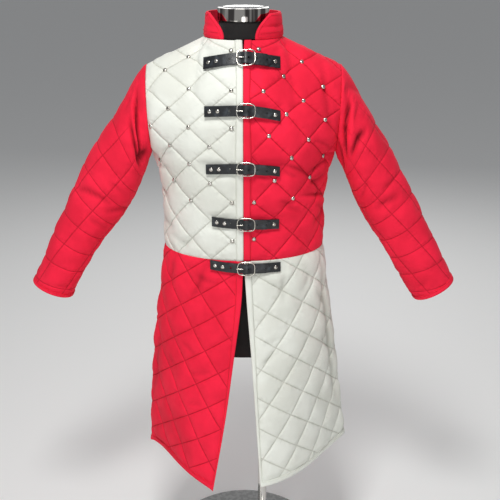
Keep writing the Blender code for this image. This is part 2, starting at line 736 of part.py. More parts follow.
def make_sleeves(finishes):
    """Both sleeves and their cuff bands."""
    stitch = 1 - STITCH_ROW / SLEEVE_LENGTH
    band = 1 - BINDING_WIDTH / SLEEVE_LENGTH
    for side, rows in (("right", RIGHT_SLEEVE), ("left", LEFT_SLEEVE)):
        sleeve = Sleeve(rows)
        origin = (0.02, 0.03) if side == "right" else (0.03, 0.05)
        quilt = diamonds(SLEEVE_DIAMOND_WIDTH, SLEEVE_DIAMOND_HEIGHT, origin, False)
        mesh = padded_wall(sleeve, quilt, SLEEVE_US, SLEEVE_VS, stitch_v=stitch, closed=True)
        add_object(f"sleeve_{side}", mesh, finishes["red_cloth"], side == "right")
        mesh = cells_wall(
            raised(sleeve, BINDING_HIGH),
            raised(sleeve, BINDING_LOW),
            SLEEVE_US,
            [band, 1.0],
            closed=True,
        )
        add_object(f"cuff_band_{side}", mesh, finishes["red_cloth"], side == "right")


def make_collar(finishes):
    collar = Collar()

    def outer(u, v):
        puff = 0.0016 * math.sin(math.pi * v) + 0.0014 * abs(math.sin(2 * math.pi * v))
        return collar.point(u, v) + collar.rim_direction(u, v) * puff

    def inner(u, v):
        return collar.point(u, v) - collar.rim_direction(u, v) * COLLAR_WALL

    mesh = cells_wall(outer, inner, shares(22), shares(4))
    add_object("collar", mesh, finishes["red_cloth"])


def front_face(x, height):
    """A point of the coat's front at this distance from the centre and this height, with its normal."""
    if height > WAIST_Z:
        panel = Bodice(BODICE_FRONT, True)
        v = centre_share(BODICE_FRONT, height)
    else:
        panel = Skirt(WHITE_FRONT_SKIRT, True)
        v = (WAIST_Z - height) / (WAIST_Z - WHITE_FRONT_SKIRT[-1].edge_z)
    u = min(1.0, abs(x) / panel.width)
    for _ in range(12):
        u += (abs(x) - panel.point(u, v).x) / panel.width
        u = min(max(u, 0.0), 1.0)
    point, normal = panel.point(u, v), surface_normal(panel, max(u, 0.004), v)
    if x < 0:
        point.x, normal.x = -point.x, -normal.x
    return point, normal


def on_front(x, height, lift):
    point, normal = front_face(x, height)
    return Vector((x, point.y, height)) + Vector((0, normal.y, normal.z)).normalized() * lift


def strap_height(closure, x):
    """The height of the strap's middle line at x: it drops towards its ends."""
    if x < 0:
        return closure.height - closure.billet_drop * abs(x / closure.billet_end) ** DROP_POWER
    return closure.height - closure.base_drop * abs(x / closure.base_end) ** DROP_POWER


def strap(name, stations, closure, finish, pointed):
    """A leather strap through (x, lift) stations, with a pointed or a square far end."""
    half = STRAP_WIDTH / 2
    shape = [(x, lift, half) for x, lift in stations]
    if pointed:
        tip_x, tip_lift, _ = shape[-1]
        shape[-1] = (tip_x - 0.014, tip_lift, half)
        shape.append((tip_x - 0.005, tip_lift, half * 0.6))
        shape.append((tip_x, tip_lift, half * 0.12))
    across = (-1.0, 0.0, 1.0)

    def face(lift_more):
        def place(u, v):
            x, lift, reach = shape[round(u)]
            height = strap_height(closure, x)
            middle = on_front(x, height, lift + lift_more)
            low, _ = front_face(x, height - 0.008)
            high, _ = front_face(x, height + 0.008)
            lean = (high.y - low.y) / 0.016
            return middle + Vector((0, lean, 1)) * reach * v
        return place

    mesh = cells_wall(face(STRAP_THICK), face(0.0), list(range(len(shape))), across)
    return add_object(name, mesh, finish)


def lean_at(height):
    """How far the front slopes in y for each metre up, at the buckle."""
    low, _ = front_face(BUCKLE_X, height - 0.012)
    high, _ = front_face(BUCKLE_X, height + 0.012)
    return (high.y - low.y) / 0.024


def buckle_frame(name, height, finish):
    """A centre-bar buckle: a rounded wire frame whose far bar stands higher, with its bar across."""
    lift_near = STRAP_LOW + STRAP_THICK + SEAM_GAP + BUCKLE_WIRE
    lift_far = lift_near + STRAP_THICK + SEAM_GAP
    lean = lean_at(height)
    sides, count = BUCKLE_SIDES, BUCKLE_STEPS

    def centre(step):
        angle = 2 * math.pi * step / count
        c, s = math.cos(angle), math.sin(angle)
        power = BUCKLE_NEAR_POWER if c < 0 else BUCKLE_FAR_POWER
        across = math.copysign(abs(c) ** power, c) * BUCKLE_HALF_WIDTH
        up = math.copysign(abs(s) ** power, s) * BUCKLE_HALF_HEIGHT
        rise = max(0.0, min(1.0, (across + 0.002) / 0.016))
        lift = lift_near + (lift_far - lift_near) * rise
        middle = on_front(BUCKLE_X + across, height, lift)
        return middle + Vector((0, lean, 1)) * up

    mesh = bmesh.new()
    rings = []
    for step in range(count):
        here = centre(step)
        along = (centre(step + 1) - centre(step - 1)).normalized()
        out = Vector((0, -1, 0))
        side = along.cross(out).normalized()
        out = side.cross(along).normalized()
        ring = []
        for k in range(sides):
            turn = 2 * math.pi * k / sides
            offset = side * math.cos(turn) + out * math.sin(turn)
            ring.append(mesh.verts.new(here + offset * BUCKLE_WIRE))
        rings.append(ring)
    for step in range(count):
        ring, after = rings[step], rings[(step + 1) % count]
        for k in range(sides):
            nxt = (k + 1) % sides
            mesh.faces.new((ring[k], ring[nxt], after[nxt], after[k]))
    bmesh.ops.recalc_face_normals(mesh, faces=mesh.faces)
    frame = add_object(name, mesh, finish)

    top, bottom = centre(count / 4), centre(-count / 4)
    length = (top - bottom).length
    bar = bmesh.new()
    bmesh.ops.create_cone(
        bar,
        cap_ends=True,
        segments=sides,
        radius1=BUCKLE_WIRE * 0.9,
        radius2=BUCKLE_WIRE * 0.9,
        depth=length,
    )
    aim = (top - bottom).to_track_quat("Z", "Y").to_matrix().to_4x4()
    bmesh.ops.transform(bar, matrix=Matrix.Translation((top + bottom) / 2) @ aim, verts=bar.verts)
    cutter = add_object(f"{name}_bar", bar, finish)
    cutter.hide_render = True
    cutter.display_type = "WIRE"
    join = frame.modifiers.new("centre bar", "BOOLEAN")
    join.operation = "UNION"
    join.object = cutter
    return frame


def tapered_bar(name, start, end, radius, tip_radius, finish):
    mesh = bmesh.new()
    bmesh.ops.create_cone(
        mesh, cap_ends=True, segments=8, radius1=radius, radius2=tip_radius,
        depth=(end - start).length,
    )
    aim = (end - start).to_track_quat("Z", "Y").to_matrix().to_4x4()
    bmesh.ops.transform(mesh, matrix=Matrix.Translation((start + end) / 2) @ aim, verts=mesh.verts)
    return add_object(name, mesh, finish)


def dome(name, x, height, lift, finish):
    """A dome rivet that sits on a strap."""
    mesh = bmesh.new()
    rings = []
    for share in (0.0, 0.55, 0.86):
        radius = RIVET_RADIUS * math.sqrt(1 - share**2)
        ring = []
        for k in range(RIVET_SIDES):
            angle = 2 * math.pi * k / RIVET_SIDES
            place = (radius * math.cos(angle), radius * math.sin(angle), share * RIVET_HEIGHT)
            ring.append(mesh.verts.new(place))
        rings.append(ring)
    for low, high in zip(rings, rings[1:]):
        for k in range(RIVET_SIDES):
            after = (k + 1) % RIVET_SIDES
            mesh.faces.new((low[k], low[after], high[after], high[k]))
    mesh.faces.new(list(reversed(rings[0])))
    crown = mesh.verts.new((0, 0, RIVET_HEIGHT))
    for k in range(RIVET_SIDES):
        mesh.faces.new((rings[-1][k], rings[-1][(k + 1) % RIVET_SIDES], crown))
    across = front_face(x + 0.006, height)[0] - front_face(x - 0.006, height)[0]
    up = front_face(x, height + 0.006)[0] - front_face(x, height - 0.006)[0]
    out = Vector((across.y / across.x, -1, up.y / 0.012)).normalized()
    aim = out.to_track_quat("Z", "Y").to_matrix().to_4x4()
    place = on_front(x, height, lift)
    bmesh.ops.transform(mesh, matrix=Matrix.Translation(place) @ aim, verts=mesh.verts)
    bmesh.ops.recalc_face_normals(mesh, faces=mesh.faces)
    return add_object(name, mesh, finish)


def make_closures(finishes):
    """Five strap-and-buckle closures across the front edges."""
    leather, nickel = finishes["black_leather"], finishes["nickel"]
    high = STRAP_LOW + STRAP_THICK + SEAM_GAP
    over_bar = high + 2 * BUCKLE_WIRE + SEAM_GAP
    for number, closure in enumerate(CLOSURES, start=1):
        height = closure.height
        near_bar = BUCKLE_X - BUCKLE_HALF_WIDTH
        billet = [(-closure.billet_end, STRAP_LOW)]
        steps = 5
        for k in range(1, steps + 1):
            x = -closure.billet_end + (near_bar + 0.003 + closure.billet_end) * k / steps
            billet.append((x, STRAP_LOW))
        billet += [
            (BUCKLE_X - 0.010, STRAP_LOW + 0.0015),
            (BUCKLE_X - 0.004, over_bar),
            (BUCKLE_X + 0.004, over_bar),
            (BUCKLE_X + 0.012, high + 0.0008),
            (BUCKLE_X + 0.020, high),
            (BUCKLE_X + 0.040, high),
            (closure.tip, high),
        ]
        strap(f"strap_billet_{number}", billet, closure, leather, True)
        start = BUCKLE_X + 0.003
        base = [(start + (closure.base_end - start) * k / 5, STRAP_LOW) for k in range(6)]
        strap(f"strap_base_{number}", base, closure, leather, False)
        buckle_frame(f"buckle_frame_{number}", height, nickel)
        rest_lift = high + 2 * BUCKLE_WIRE + SEAM_GAP
        tapered_bar(
            f"buckle_prong_{number}",
            on_front(BUCKLE_X - 0.0075, height, STRAP_LOW + STRAP_THICK + 0.0052),
            on_front(near_bar - 0.0018, height, rest_lift + PRONG_RADIUS * 0.9),
            PRONG_RADIUS,
            PRONG_RADIUS * 0.7,
            nickel,
        )
        on_strap = STRAP_LOW + STRAP_THICK + SEAM_GAP
        rivets = [distance - closure.billet_end for distance in RIVETS_FROM_END]
        rivets.append(closure.base_end - RIVETS_FROM_END[0])
        for letter, x in zip("abc", rivets):
            dome(f"rivet_{number}{letter}", x, strap_height(closure, x), on_strap, nickel)


def form_rings():
    """The torso's rings, whose ridge lies just under the coat's shoulder seams."""
    slope = (NECK_Z - SHOULDER_Z) / (SHOULDER_X - NECK_HALF_WIDTH)
    drop = WALL + FORM_GAP

    def seam_under(x):
        return NECK_Z - (x - NECK_HALF_WIDTH) * slope - drop

    rows = list(FORM)
    rows.append(FormRow(seam_under(0.181), 0.181, 0.050, 0.0, 2.0))
    rows.append(FormRow(seam_under(0.145), 0.145, 0.052, 0.0, 2.0))
    rows.append(FormRow(seam_under(0.108), 0.108, 0.048, 0.0, 1.9))
    rows.append(FormRow(NECK_Z, 0.070, 0.062, -0.003))
    rows.append(FormRow(NECK_Z + 0.012, 0.0605, 0.0605, -0.003))
    rows.append(FormRow(NECK_CAP_LOW - SEAM_GAP, 0.060, 0.060, -0.003))
    return rows


def turned(rings, sides, centre_x=0.0):
    """A closed body through elliptical rings, each (z, half width, half depth, middle y)."""
    mesh = bmesh.new()
    loops = []
    for ring in rings:
        loop = []
        for k in range(sides):
            angle = 2 * math.pi * k / sides
            c, s = math.cos(angle), math.sin(angle)
            x = centre_x + ring.half_width * math.copysign(abs(c) ** ring.pointed, c)
            y = ring.middle_y + ring.half_depth * math.copysign(abs(s) ** ring.pointed, s)
            loop.append(mesh.verts.new((x, y, ring.z)))
        loops.append(loop)
    for low, high in zip(loops, loops[1:]):
        for k in range(sides):
            after = (k + 1) % sides
            mesh.faces.new((low[k], low[after], high[after], high[k]))
    mesh.faces.new(list(reversed(loops[0])))
    mesh.faces.new(loops[-1])
    return mesh


def make_form(finishes):
    """The limbless dress form on its pole and round base."""
    add_object("form_torso", turned(form_rings(), FORM_SIDES), finishes["black_jersey"])
    edge = 0.003
    cap = [
        FormRow(NECK_CAP_LOW, NECK_RADIUS - 0.0015, NECK_RADIUS - 0.0015, -0.003),
        FormRow(NECK_CAP_LOW + edge, NECK_RADIUS, NECK_RADIUS, -0.003),
        FormRow(NECK_CAP_TOP - edge, NECK_RADIUS, NECK_RADIUS, -0.003),
        FormRow(NECK_CAP_TOP, NECK_RADIUS - edge, NECK_RADIUS - edge, -0.003),
    ]
    add_object("form_neck_cap", turned(cap, 48), finishes["chrome"])
    top = FORM[0].z - SEAM_GAP
    flange = 0.030
    pole = [
        FormRow(BASE_THICK + BASE_BOSS + SEAM_GAP, POLE_RADIUS, POLE_RADIUS, 0.0),
        FormRow(top - 0.012, POLE_RADIUS, POLE_RADIUS, 0.0),
        FormRow(top - 0.0118, flange, flange, 0.0),
        FormRow(top, flange, flange, 0.0),
    ]
    add_object("form_pole", turned(pole, 24, POLE_X), finishes["chrome"])
    base = [
        FormRow(0.0, BASE_RADIUS, BASE_RADIUS, 0.0),
        FormRow(BASE_THICK - BASE_EDGE, BASE_RADIUS, BASE_RADIUS, 0.0),
        FormRow(BASE_THICK, BASE_RADIUS - BASE_EDGE, BASE_RADIUS - BASE_EDGE, 0.0),
        FormRow(BASE_THICK + BASE_BOSS, BOSS_RADIUS, BOSS_RADIUS, 0.0),
    ]
    add_object("form_base", turned(base, 48), finishes["chrome"])


def main():
    for found in list(bpy.data.objects):
        bpy.data.objects.remove(found)
    finishes = {
        "white_cloth": material("white_cloth", WHITE, 0.85),
        "red_cloth": material("red_cloth", RED, 0.82),
        "black_leather": material("black_leather", BLACK_LEATHER, 0.42),
        "nickel": material("nickel", NICKEL, 0.25, 1.0),
        "black_jersey": material("black_jersey", BLACK_JERSEY, 0.9),
        "chrome": material("chrome", CHROME, 0.08, 1.0),
    }
    make_bodice(finishes)
    make_collar(finishes)
    make_sleeves(finishes)
    make_skirts(finishes)
    make_closures(finishes)
    make_form(finishes)


main()
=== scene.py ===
"""Looks of a quilted gambeson that stands on a limbless dress form.

Metres, +Z up. The coat's front faces -Y and the wearer's left is +X. Every panel of cloth is laid on
the same curved form as its solid in the frame: a flat pattern is made along the stitch lines, padded,
and then bent onto that form.
"""

import logging
import math
from dataclasses import dataclass, field, replace
from enum import Enum
from functools import cache
from typing import Callable, Iterable, Sequence

import bmesh
import bpy
import numpy as np
from mathutils import Matrix, Vector, noise

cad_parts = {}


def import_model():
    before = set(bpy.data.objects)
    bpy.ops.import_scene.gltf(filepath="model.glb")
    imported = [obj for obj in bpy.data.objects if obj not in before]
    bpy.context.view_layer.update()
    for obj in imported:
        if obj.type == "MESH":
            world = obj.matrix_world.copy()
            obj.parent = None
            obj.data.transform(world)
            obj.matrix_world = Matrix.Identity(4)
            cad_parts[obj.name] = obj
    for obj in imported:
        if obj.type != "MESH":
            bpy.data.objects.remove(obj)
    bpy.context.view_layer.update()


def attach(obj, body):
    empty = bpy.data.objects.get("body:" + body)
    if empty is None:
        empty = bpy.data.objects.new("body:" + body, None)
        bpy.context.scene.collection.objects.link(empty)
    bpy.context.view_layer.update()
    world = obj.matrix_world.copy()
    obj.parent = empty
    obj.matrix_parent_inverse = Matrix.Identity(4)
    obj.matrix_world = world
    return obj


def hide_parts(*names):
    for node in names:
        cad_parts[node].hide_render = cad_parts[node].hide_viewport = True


Array = np.ndarray
Colour = tuple[float, float, float, float]

LOG = logging.getLogger("gambeson")
BODY = "root"
MIRROR = (-1, 1, 1)

# Driving sizes of the coat, the same as those of its solids
WAIST_Z = 0.948
NECK_Z = 1.480
NECK_HALF_WIDTH = 0.096
NECK_FRONT = 0.086
NECK_BACK = 0.080
NECK_SHARE = 0.46
TOP_PULL_START = 0.5
TOP_PULL_POWER = 2.2
SHOULDER_X = 0.239
SHOULDER_Z = 1.412
UNDERARM_X = 0.231
UNDERARM_Z = 1.200
UNDERARM_SHARE = 0.52
ARMHOLE_FRONT = 0.075
ARMHOLE_BACK = 0.065
COLLAR_HEIGHT = 0.058
SEAM_GAP = 0.0003
WALL = 0.006
COLLAR_WALL = 0.005
FLUTE_DEPTH = 0.007
HEAD_SHARE = 0.10
FOLD_PLACE = 0.075
FOLD_WIDTH = 0.035
FOLD_DEPTH = 0.009
BINDING_WIDTH = 0.017
STITCH_ROW = 0.019
NECK_EDGE_OPEN = 0.0025
NECK_EDGE_START = 0.93

# Flat width and height that each panel is laid out by
BODICE_SIZE = (0.290, 0.530)
SKIRT_SIZE = (0.300, 0.640)
SLEEVE_SIZE = (0.420, 0.640)
COLLAR_SIZE = (0.49, COLLAR_HEIGHT)

# Closures
STRAP_WIDTH = 0.025
STRAP_LOW = 0.0034
STRAP_THICK = 0.0024
BUCKLE_WIRE = 0.0016
BUCKLE_X = 0.0065
BUCKLE_HALF_WIDTH = 0.0215
BUCKLE_HALF_HEIGHT = 0.0164
BUCKLE_POWER = 0.58
DROP_POWER = 1.7
PRONG_RADIUS = 0.0013

BODICE_COLUMNS = ("share", "centre_y", "centre_z", "side_x", "side_z", "reach")
BODICE_FRONT = (
    (0.00, -0.150, WAIST_Z, 0.208, WAIST_Z, 90),
    (0.20, -0.152, 1.056, 0.206, 1.052, 90),
    (0.38, -0.159, 1.150, 0.212, 1.132, 89),
    (0.52, -0.163, 1.225, UNDERARM_X, UNDERARM_Z, 86),
    (0.75, -0.152, 1.345, 0.0, 0.0, 62),
    (0.90, -0.122, 1.430, 0.0, 0.0, 52),
    (1.00, -NECK_FRONT, NECK_Z, 0.0, 0.0, 48),
)
BODICE_BACK = (
    (0.00, 0.108, WAIST_Z, 0.208, WAIST_Z, 90),
    (0.20, 0.109, 1.056, 0.206, 1.052, 90),
    (0.38, 0.120, 1.150, 0.212, 1.132, 89),
    (0.52, 0.130, 1.225, UNDERARM_X, UNDERARM_Z, 86),
    (0.75, 0.132, 1.345, 0.0, 0.0, 64),
    (0.90, 0.110, 1.430, 0.0, 0.0, 54),
    (1.00, NECK_BACK, NECK_Z, 0.0, 0.0, 48),
)
SKIRT_COLUMNS = ("share", "edge_x", "edge_y", "edge_z", "side_x", "side_z", "straight", "lift")
RED_FRONT_SKIRT = (
    (0.00, 0.0006, -0.150, WAIST_Z, 0.208, WAIST_Z, 1.00, 0.0),
    (0.18, 0.0060, -0.160, 0.836, 0.220, 0.842, 1.06, 0.0),
    (0.40, 0.0250, -0.182, 0.690, 0.241, 0.700, 1.22, 0.002),
    (0.66, 0.0480, -0.207, 0.525, 0.257, 0.535, 1.44, 0.010),
    (1.00, 0.0830, -0.229, 0.322, 0.269, 0.336, 1.66, 0.022),
)
WHITE_FRONT_SKIRT = (
    (0.00, 0.0006, -0.150, WAIST_Z, 0.208, WAIST_Z, 1.00, 0.0),
    (0.18, 0.0078, -0.160, 0.836, 0.220, 0.842, 1.06, 0.0),
    (0.40, 0.0195, -0.182, 0.690, 0.242, 0.705, 1.20, 0.002),
    (0.66, 0.0310, -0.207, 0.525, 0.262, 0.543, 1.38, 0.002),
    (1.00, 0.0440, -0.229, 0.335, 0.287, 0.359, 1.54, 0.003),
)
RED_BACK_SKIRT = (
    (0.00, 0.0006, 0.108, WAIST_Z, 0.208, WAIST_Z, 1.00, 0.0),
    (0.18, 0.0060, 0.122, 0.836, 0.220, 0.842, 1.00, 0.0),
    (0.40, 0.0200, 0.146, 0.690, 0.241, 0.700, 1.04, 0.0),
    (0.66, 0.0400, 0.168, 0.525, 0.257, 0.535, 1.10, 0.0),
    (1.00, 0.0620, 0.188, 0.330, 0.269, 0.336, 1.18, 0.0),
)
WHITE_BACK_SKIRT = (
    (0.00, 0.0006, 0.108, WAIST_Z, 0.208, WAIST_Z, 1.00, 0.0),
    (0.18, 0.0060, 0.122, 0.836, 0.220, 0.842, 1.00, 0.0),
    (0.40, 0.0200, 0.146, 0.690, 0.242, 0.705, 1.04, 0.0),
    (0.66, 0.0400, 0.168, 0.525, 0.262, 0.543, 1.10, 0.0),
    (1.00, 0.0620, 0.188, 0.345, 0.287, 0.359, 1.18, 0.0),
)
SLEEVE_COLUMNS = ("share", "outer_x", "outer_z", "inner_x", "inner_z", "middle_y", "half_depth")
RIGHT_SLEEVE = (
    (0.00, SHOULDER_X, SHOULDER_Z, UNDERARM_X, UNDERARM_Z, -0.005, 0.070),
    (0.08, 0.262, 1.383, 0.245, 1.168, -0.004, 0.074),
    (0.20, 0.320, 1.291, 0.262, 1.121, -0.002, 0.075),
    (0.34, 0.376, 1.213, 0.288, 1.068, 0.000, 0.071),
    (0.48, 0.417, 1.142, 0.325, 1.012, 0.000, 0.065),
    (0.62, 0.461, 1.052, 0.370, 0.958, -0.002, 0.060),
    (0.76, 0.504, 0.964, 0.412, 0.895, -0.004, 0.056),
    (0.90, 0.542, 0.880, 0.449, 0.830, -0.007, 0.053),
    (1.00, 0.564, 0.842, 0.464, 0.797, -0.008, 0.051),
)
LEFT_SLEEVE = (
    (0.00, SHOULDER_X, SHOULDER_Z, UNDERARM_X, UNDERARM_Z, -0.005, 0.070),
    (0.08, 0.260, 1.384, 0.246, 1.168, -0.004, 0.074),
    (0.20, 0.312, 1.296, 0.268, 1.121, -0.002, 0.075),
    (0.34, 0.359, 1.222, 0.290, 1.068, 0.000, 0.071),
    (0.48, 0.400, 1.150, 0.319, 1.012, 0.000, 0.065),
    (0.62, 0.445, 1.066, 0.356, 0.958, -0.002, 0.060),
    (0.76, 0.490, 0.978, 0.396, 0.895, -0.004, 0.056),
    (0.90, 0.534, 0.892, 0.434, 0.828, -0.007, 0.053),
    (1.00, 0.560, 0.845, 0.461, 0.789, -0.008, 0.051),
)
# The torso's rings: height, half width, half depth, middle in y, and how pointed
FORM = (
    (0.655, 0.148, 0.092, -0.012, 1.0),
    (0.700, 0.156, 0.102, -0.014, 1.0),
    (0.800, 0.158, 0.108, -0.016, 1.0),
    (0.900, 0.140, 0.096, -0.018, 1.0),
    (0.960, 0.132, 0.092, -0.018, 1.0),
    (1.060, 0.146, 0.098, -0.018, 1.0),
    (1.180, 0.172, 0.108, -0.016, 1.0),
    (1.280, 0.180, 0.104, -0.010, 1.0),
    (1.360, 0.181, 0.076, -0.004, 1.0),
)


class Side(Enum):
    """The wearer's side that a piece belongs to."""

    RIGHT = "right"
    LEFT = "left"

    @property
    def mirrored(self) -> bool:
        """Whether the piece lies on -X, the mirror of the tables."""
        return self is Side.RIGHT


class Rim(Enum):
    """The four rims of a flat panel."""

    LOW_S = 0
    HIGH_S = 1
    LOW_T = 2
    HIGH_T = 3


SKIRT_ROWS = {
    (Side.RIGHT, True): RED_FRONT_SKIRT,
    (Side.RIGHT, False): RED_BACK_SKIRT,
    (Side.LEFT, True): WHITE_FRONT_SKIRT,
    (Side.LEFT, False): WHITE_BACK_SKIRT,
}
SLEEVE_ROWS = {Side.RIGHT: RIGHT_SLEEVE, Side.LEFT: LEFT_SLEEVE}


@dataclass(frozen=True)
class Profile:
    """A short table with named columns, blended by a smooth curve through its rows."""

    names: tuple[str, ...]
    rows: tuple[tuple[float, ...], ...]

    def at(self, share: Array) -> dict[str, Array]:
        """Reads the curve.

        Args:
            share: Places along the table's first column.

        Returns:
            Each column's values at those places, by name.
        """
        table = np.array(self.rows, dtype=float)
        places = table[:, 0]
        last = len(places) - 1
        order = np.arange(last + 1)
        before, after = np.maximum(order - 1, 0), np.minimum(order + 1, last)
        slopes = (table[after] - table[before]) / (places[after] - places[before])[:, None]
        share = np.atleast_1d(np.asarray(share, dtype=float))
        low = np.clip(np.searchsorted(places[1:], share), 0, last - 1)
        span = (places[low + 1] - places[low])[:, None]
        t = (share[:, None] - places[low][:, None]) / span
        values = (
            (2 * t**3 - 3 * t**2 + 1) * table[low]
            + (t**3 - 2 * t**2 + t) * span * slopes[low]
            + (3 * t**2 - 2 * t**3) * table[low + 1]
            + (t**3 - t**2) * span * slopes[low + 1]
        )
        return {name: values[:, k] for k, name in enumerate(self.names)}


def xyz(x: Array, y: Array, z: Array) -> Array:
    """Joins three columns into points."""
    return np.stack(np.broadcast_arrays(x, y, z), axis=1)


def unit(vectors: Array) -> Array:
    """Each vector at length one."""
    return vectors / np.maximum(np.linalg.norm(vectors, axis=1, keepdims=True), 1e-12)


def ease(share: Array) -> Array:
    """A share from 0 to 1 with a soft start and end."""
    return share * share * (3 - 2 * share)


def travelled(points: Array) -> Array:
    """The distance covered along each line of points, from 0 at its first."""
    steps = np.linalg.norm(np.diff(points, axis=-2), axis=-1)
    start = np.zeros((*steps.shape[:-1], 1))
    return np.concatenate([start, np.cumsum(steps, axis=-1)], axis=-1)


def soft_noise(points: Array, pitch: float, seed: float) -> Array:
    """Smooth noise in space.

    Args:
        points: Places in metres.
        pitch: Distance from bump to bump, in metres.
        seed: Shifts the pattern, so that no two panels match.

    Returns:
        A value from about -1 to 1 at each place.
    """
    shifted = points / pitch + seed
    return np.array([noise.noise(Vector(place)) for place in shifted]) * 1.6


def armhole(angle: Array, depth: Array | float) -> Array:
    """The armhole's plane loop.

    Args:
        angle: 0 at the shoulder tip and pi at the underarm.
        depth: How far the loop reaches forwards or back.

    Returns:
        Points of the loop.
    """
    rise = np.cos(angle)
    x = (SHOULDER_X + UNDERARM_X) / 2 + (SHOULDER_X - UNDERARM_X) / 2 * rise
    z = (SHOULDER_Z + UNDERARM_Z) / 2 + (SHOULDER_Z - UNDERARM_Z) / 2 * rise
    return xyz(x, depth * np.sin(angle), z)


@dataclass
class Surface:
    """A curved form that flat cloth is laid on: u and v are shares of the flat width and height."""

    width: float
    height: float

    def points(self, u: Array, v: Array) -> Array:
        """Points of the form."""
        raise NotImplementedError

    def shares(self, s: Array, t: Array) -> tuple[Array, Array]:
        """The shares of flat places, held within the pattern."""
        return np.clip(s / self.width, 0, 1), np.clip(t / self.height, 0, 1)

    def hearts(self, points: Array, v: Array) -> Array:
        """Places well inside the form, level with each point."""
        return xyz(np.zeros(len(points)), np.zeros(len(points)), points[:, 2])

    def neighbours(self, u: Array, step: float) -> tuple[Array, Array]:
        """The shares just before and after u."""
        return np.clip(u - step, 0, 1), np.clip(u + step, 0, 1)

    def measure(self, points: Array, v: Array) -> tuple[Array, Array]:
        """Real distances that the stitch plan is drawn by.

        Args:
            points: The form's points, row by row.
            v: The share of each row.

        Returns:
            The level distance round from the first column, and the height.
        """
        return travelled(points[..., :2]), points[..., 2]

    def normals(self, u: Array, v: Array) -> Array:
        """Outward normals of the form, by small steps on it."""
        step = 0.004
        low_u, high_u = self.neighbours(u, step)
        across = self.points(high_u, v) - self.points(low_u, v)
        along = self.points(u, np.clip(v + step, 0, 1)) - self.points(u, np.clip(v - step, 0, 1))
        normal = unit(np.cross(across, along))
        points = self.points(u, v)
        facing = np.sum(normal * (points - self.hearts(points, v)), axis=1)
        return np.where(facing[:, None] < 0, -normal, normal)


@dataclass
class BodiceForm(Surface):
    """A quarter of the bodice on +X: u runs from the centre to the side, v from the waist up."""

    rows: tuple = BODICE_FRONT
    front: bool = True
    heart_top: float = 1.25

    def row_points(self, u: Array, v: Array) -> Array:
        """The rows' own curves, before the neck and shoulder pull the top edge to them."""
        row = Profile(BODICE_COLUMNS, self.rows).at(v)
        low_row = Profile(BODICE_COLUMNS, self.rows[:4]).at(np.minimum(v, UNDERARM_SHARE))
        depth = -ARMHOLE_FRONT if self.front else ARMHOLE_BACK
        angle = math.pi * (1 - np.maximum(v, UNDERARM_SHARE)) / (1 - UNDERARM_SHARE)
        above = (v > UNDERARM_SHARE)[:, None]
        low_side = xyz(low_row["side_x"], 0 * v, low_row["side_z"])
        side = np.where(above, armhole(angle, depth), low_side)
        end = np.radians(row["reach"])
        x = side[:, 0] * np.sin(u * end) / np.sin(end)
        sink = (1 - np.cos(u * end)) / (1 - np.cos(end))
        y = row["centre_y"] + (side[:, 1] - row["centre_y"]) * sink
        z = row["centre_z"] + (side[:, 2] - row["centre_z"]) * ease(u)
        return xyz(x, y, z)

    def top_edge(self, u: Array) -> Array:
        """A quarter of the neck, then the straight shoulder seam."""
        angle = np.minimum(u / NECK_SHARE, 1) * math.pi / 2
        depth = -NECK_FRONT if self.front else NECK_BACK
        neck = xyz(NECK_HALF_WIDTH * np.sin(angle), depth * np.cos(angle), np.full(len(u), NECK_Z))
        along = np.maximum(u - NECK_SHARE, 0) / (1 - NECK_SHARE)
        fall = xyz((SHOULDER_X - NECK_HALF_WIDTH) * along, 0 * u, (SHOULDER_Z - NECK_Z) * along)
        corner = np.array([[NECK_HALF_WIDTH, 0, NECK_Z]])
        return np.where((u <= NECK_SHARE)[:, None], neck, corner + fall)

    def points(self, u: Array, v: Array) -> Array:
        """Points of the form."""
        pull = (np.maximum(v - TOP_PULL_START, 0) / (1 - TOP_PULL_START)) ** TOP_PULL_POWER
        top = self.top_edge(u) - self.row_points(u, np.ones(len(u)))
        places = self.row_points(u, v) + top * pull[:, None]
        if self.front:
            parted = np.maximum(v - NECK_EDGE_START, 0) / (1 - NECK_EDGE_START)
            places[:, 0] += NECK_EDGE_OPEN * parted * (1 - u) ** 4
        return places

    def hearts(self, points: Array, v: Array) -> Array:
        """Places inside the trunk, below the shoulders."""
        return xyz(0 * v, 0 * v, np.minimum(points[:, 2], self.heart_top))


@dataclass
class SkirtForm(Surface):
    """A skirt panel on +X: u runs from the open edge to the side seam, v from the waist down."""

    rows: tuple = RED_FRONT_SKIRT

    def points(self, u: Array, v: Array) -> Array:
        """Points of the form."""
        row = Profile(SKIRT_COLUMNS, self.rows).at(v)
        angle = u * math.pi / 2
        x = row["edge_x"] + (row["side_x"] - row["edge_x"]) * np.sin(angle) ** row["straight"]
        y = row["edge_y"] * np.maximum(np.cos(angle), 0) ** row["straight"]
        z = row["edge_z"] + (row["side_z"] - row["edge_z"]) * ease(u)
        z = z + row["lift"] * np.sin(math.pi * u)
        flute = FLUTE_DEPTH * v**1.5 * np.sin(2 * math.pi * u) * np.sin(math.pi * u)
        way = 1.0 if self.rows[0][2] > 0 else -1.0
        return xyz(x + flute * np.sin(angle), y + flute * way, z)


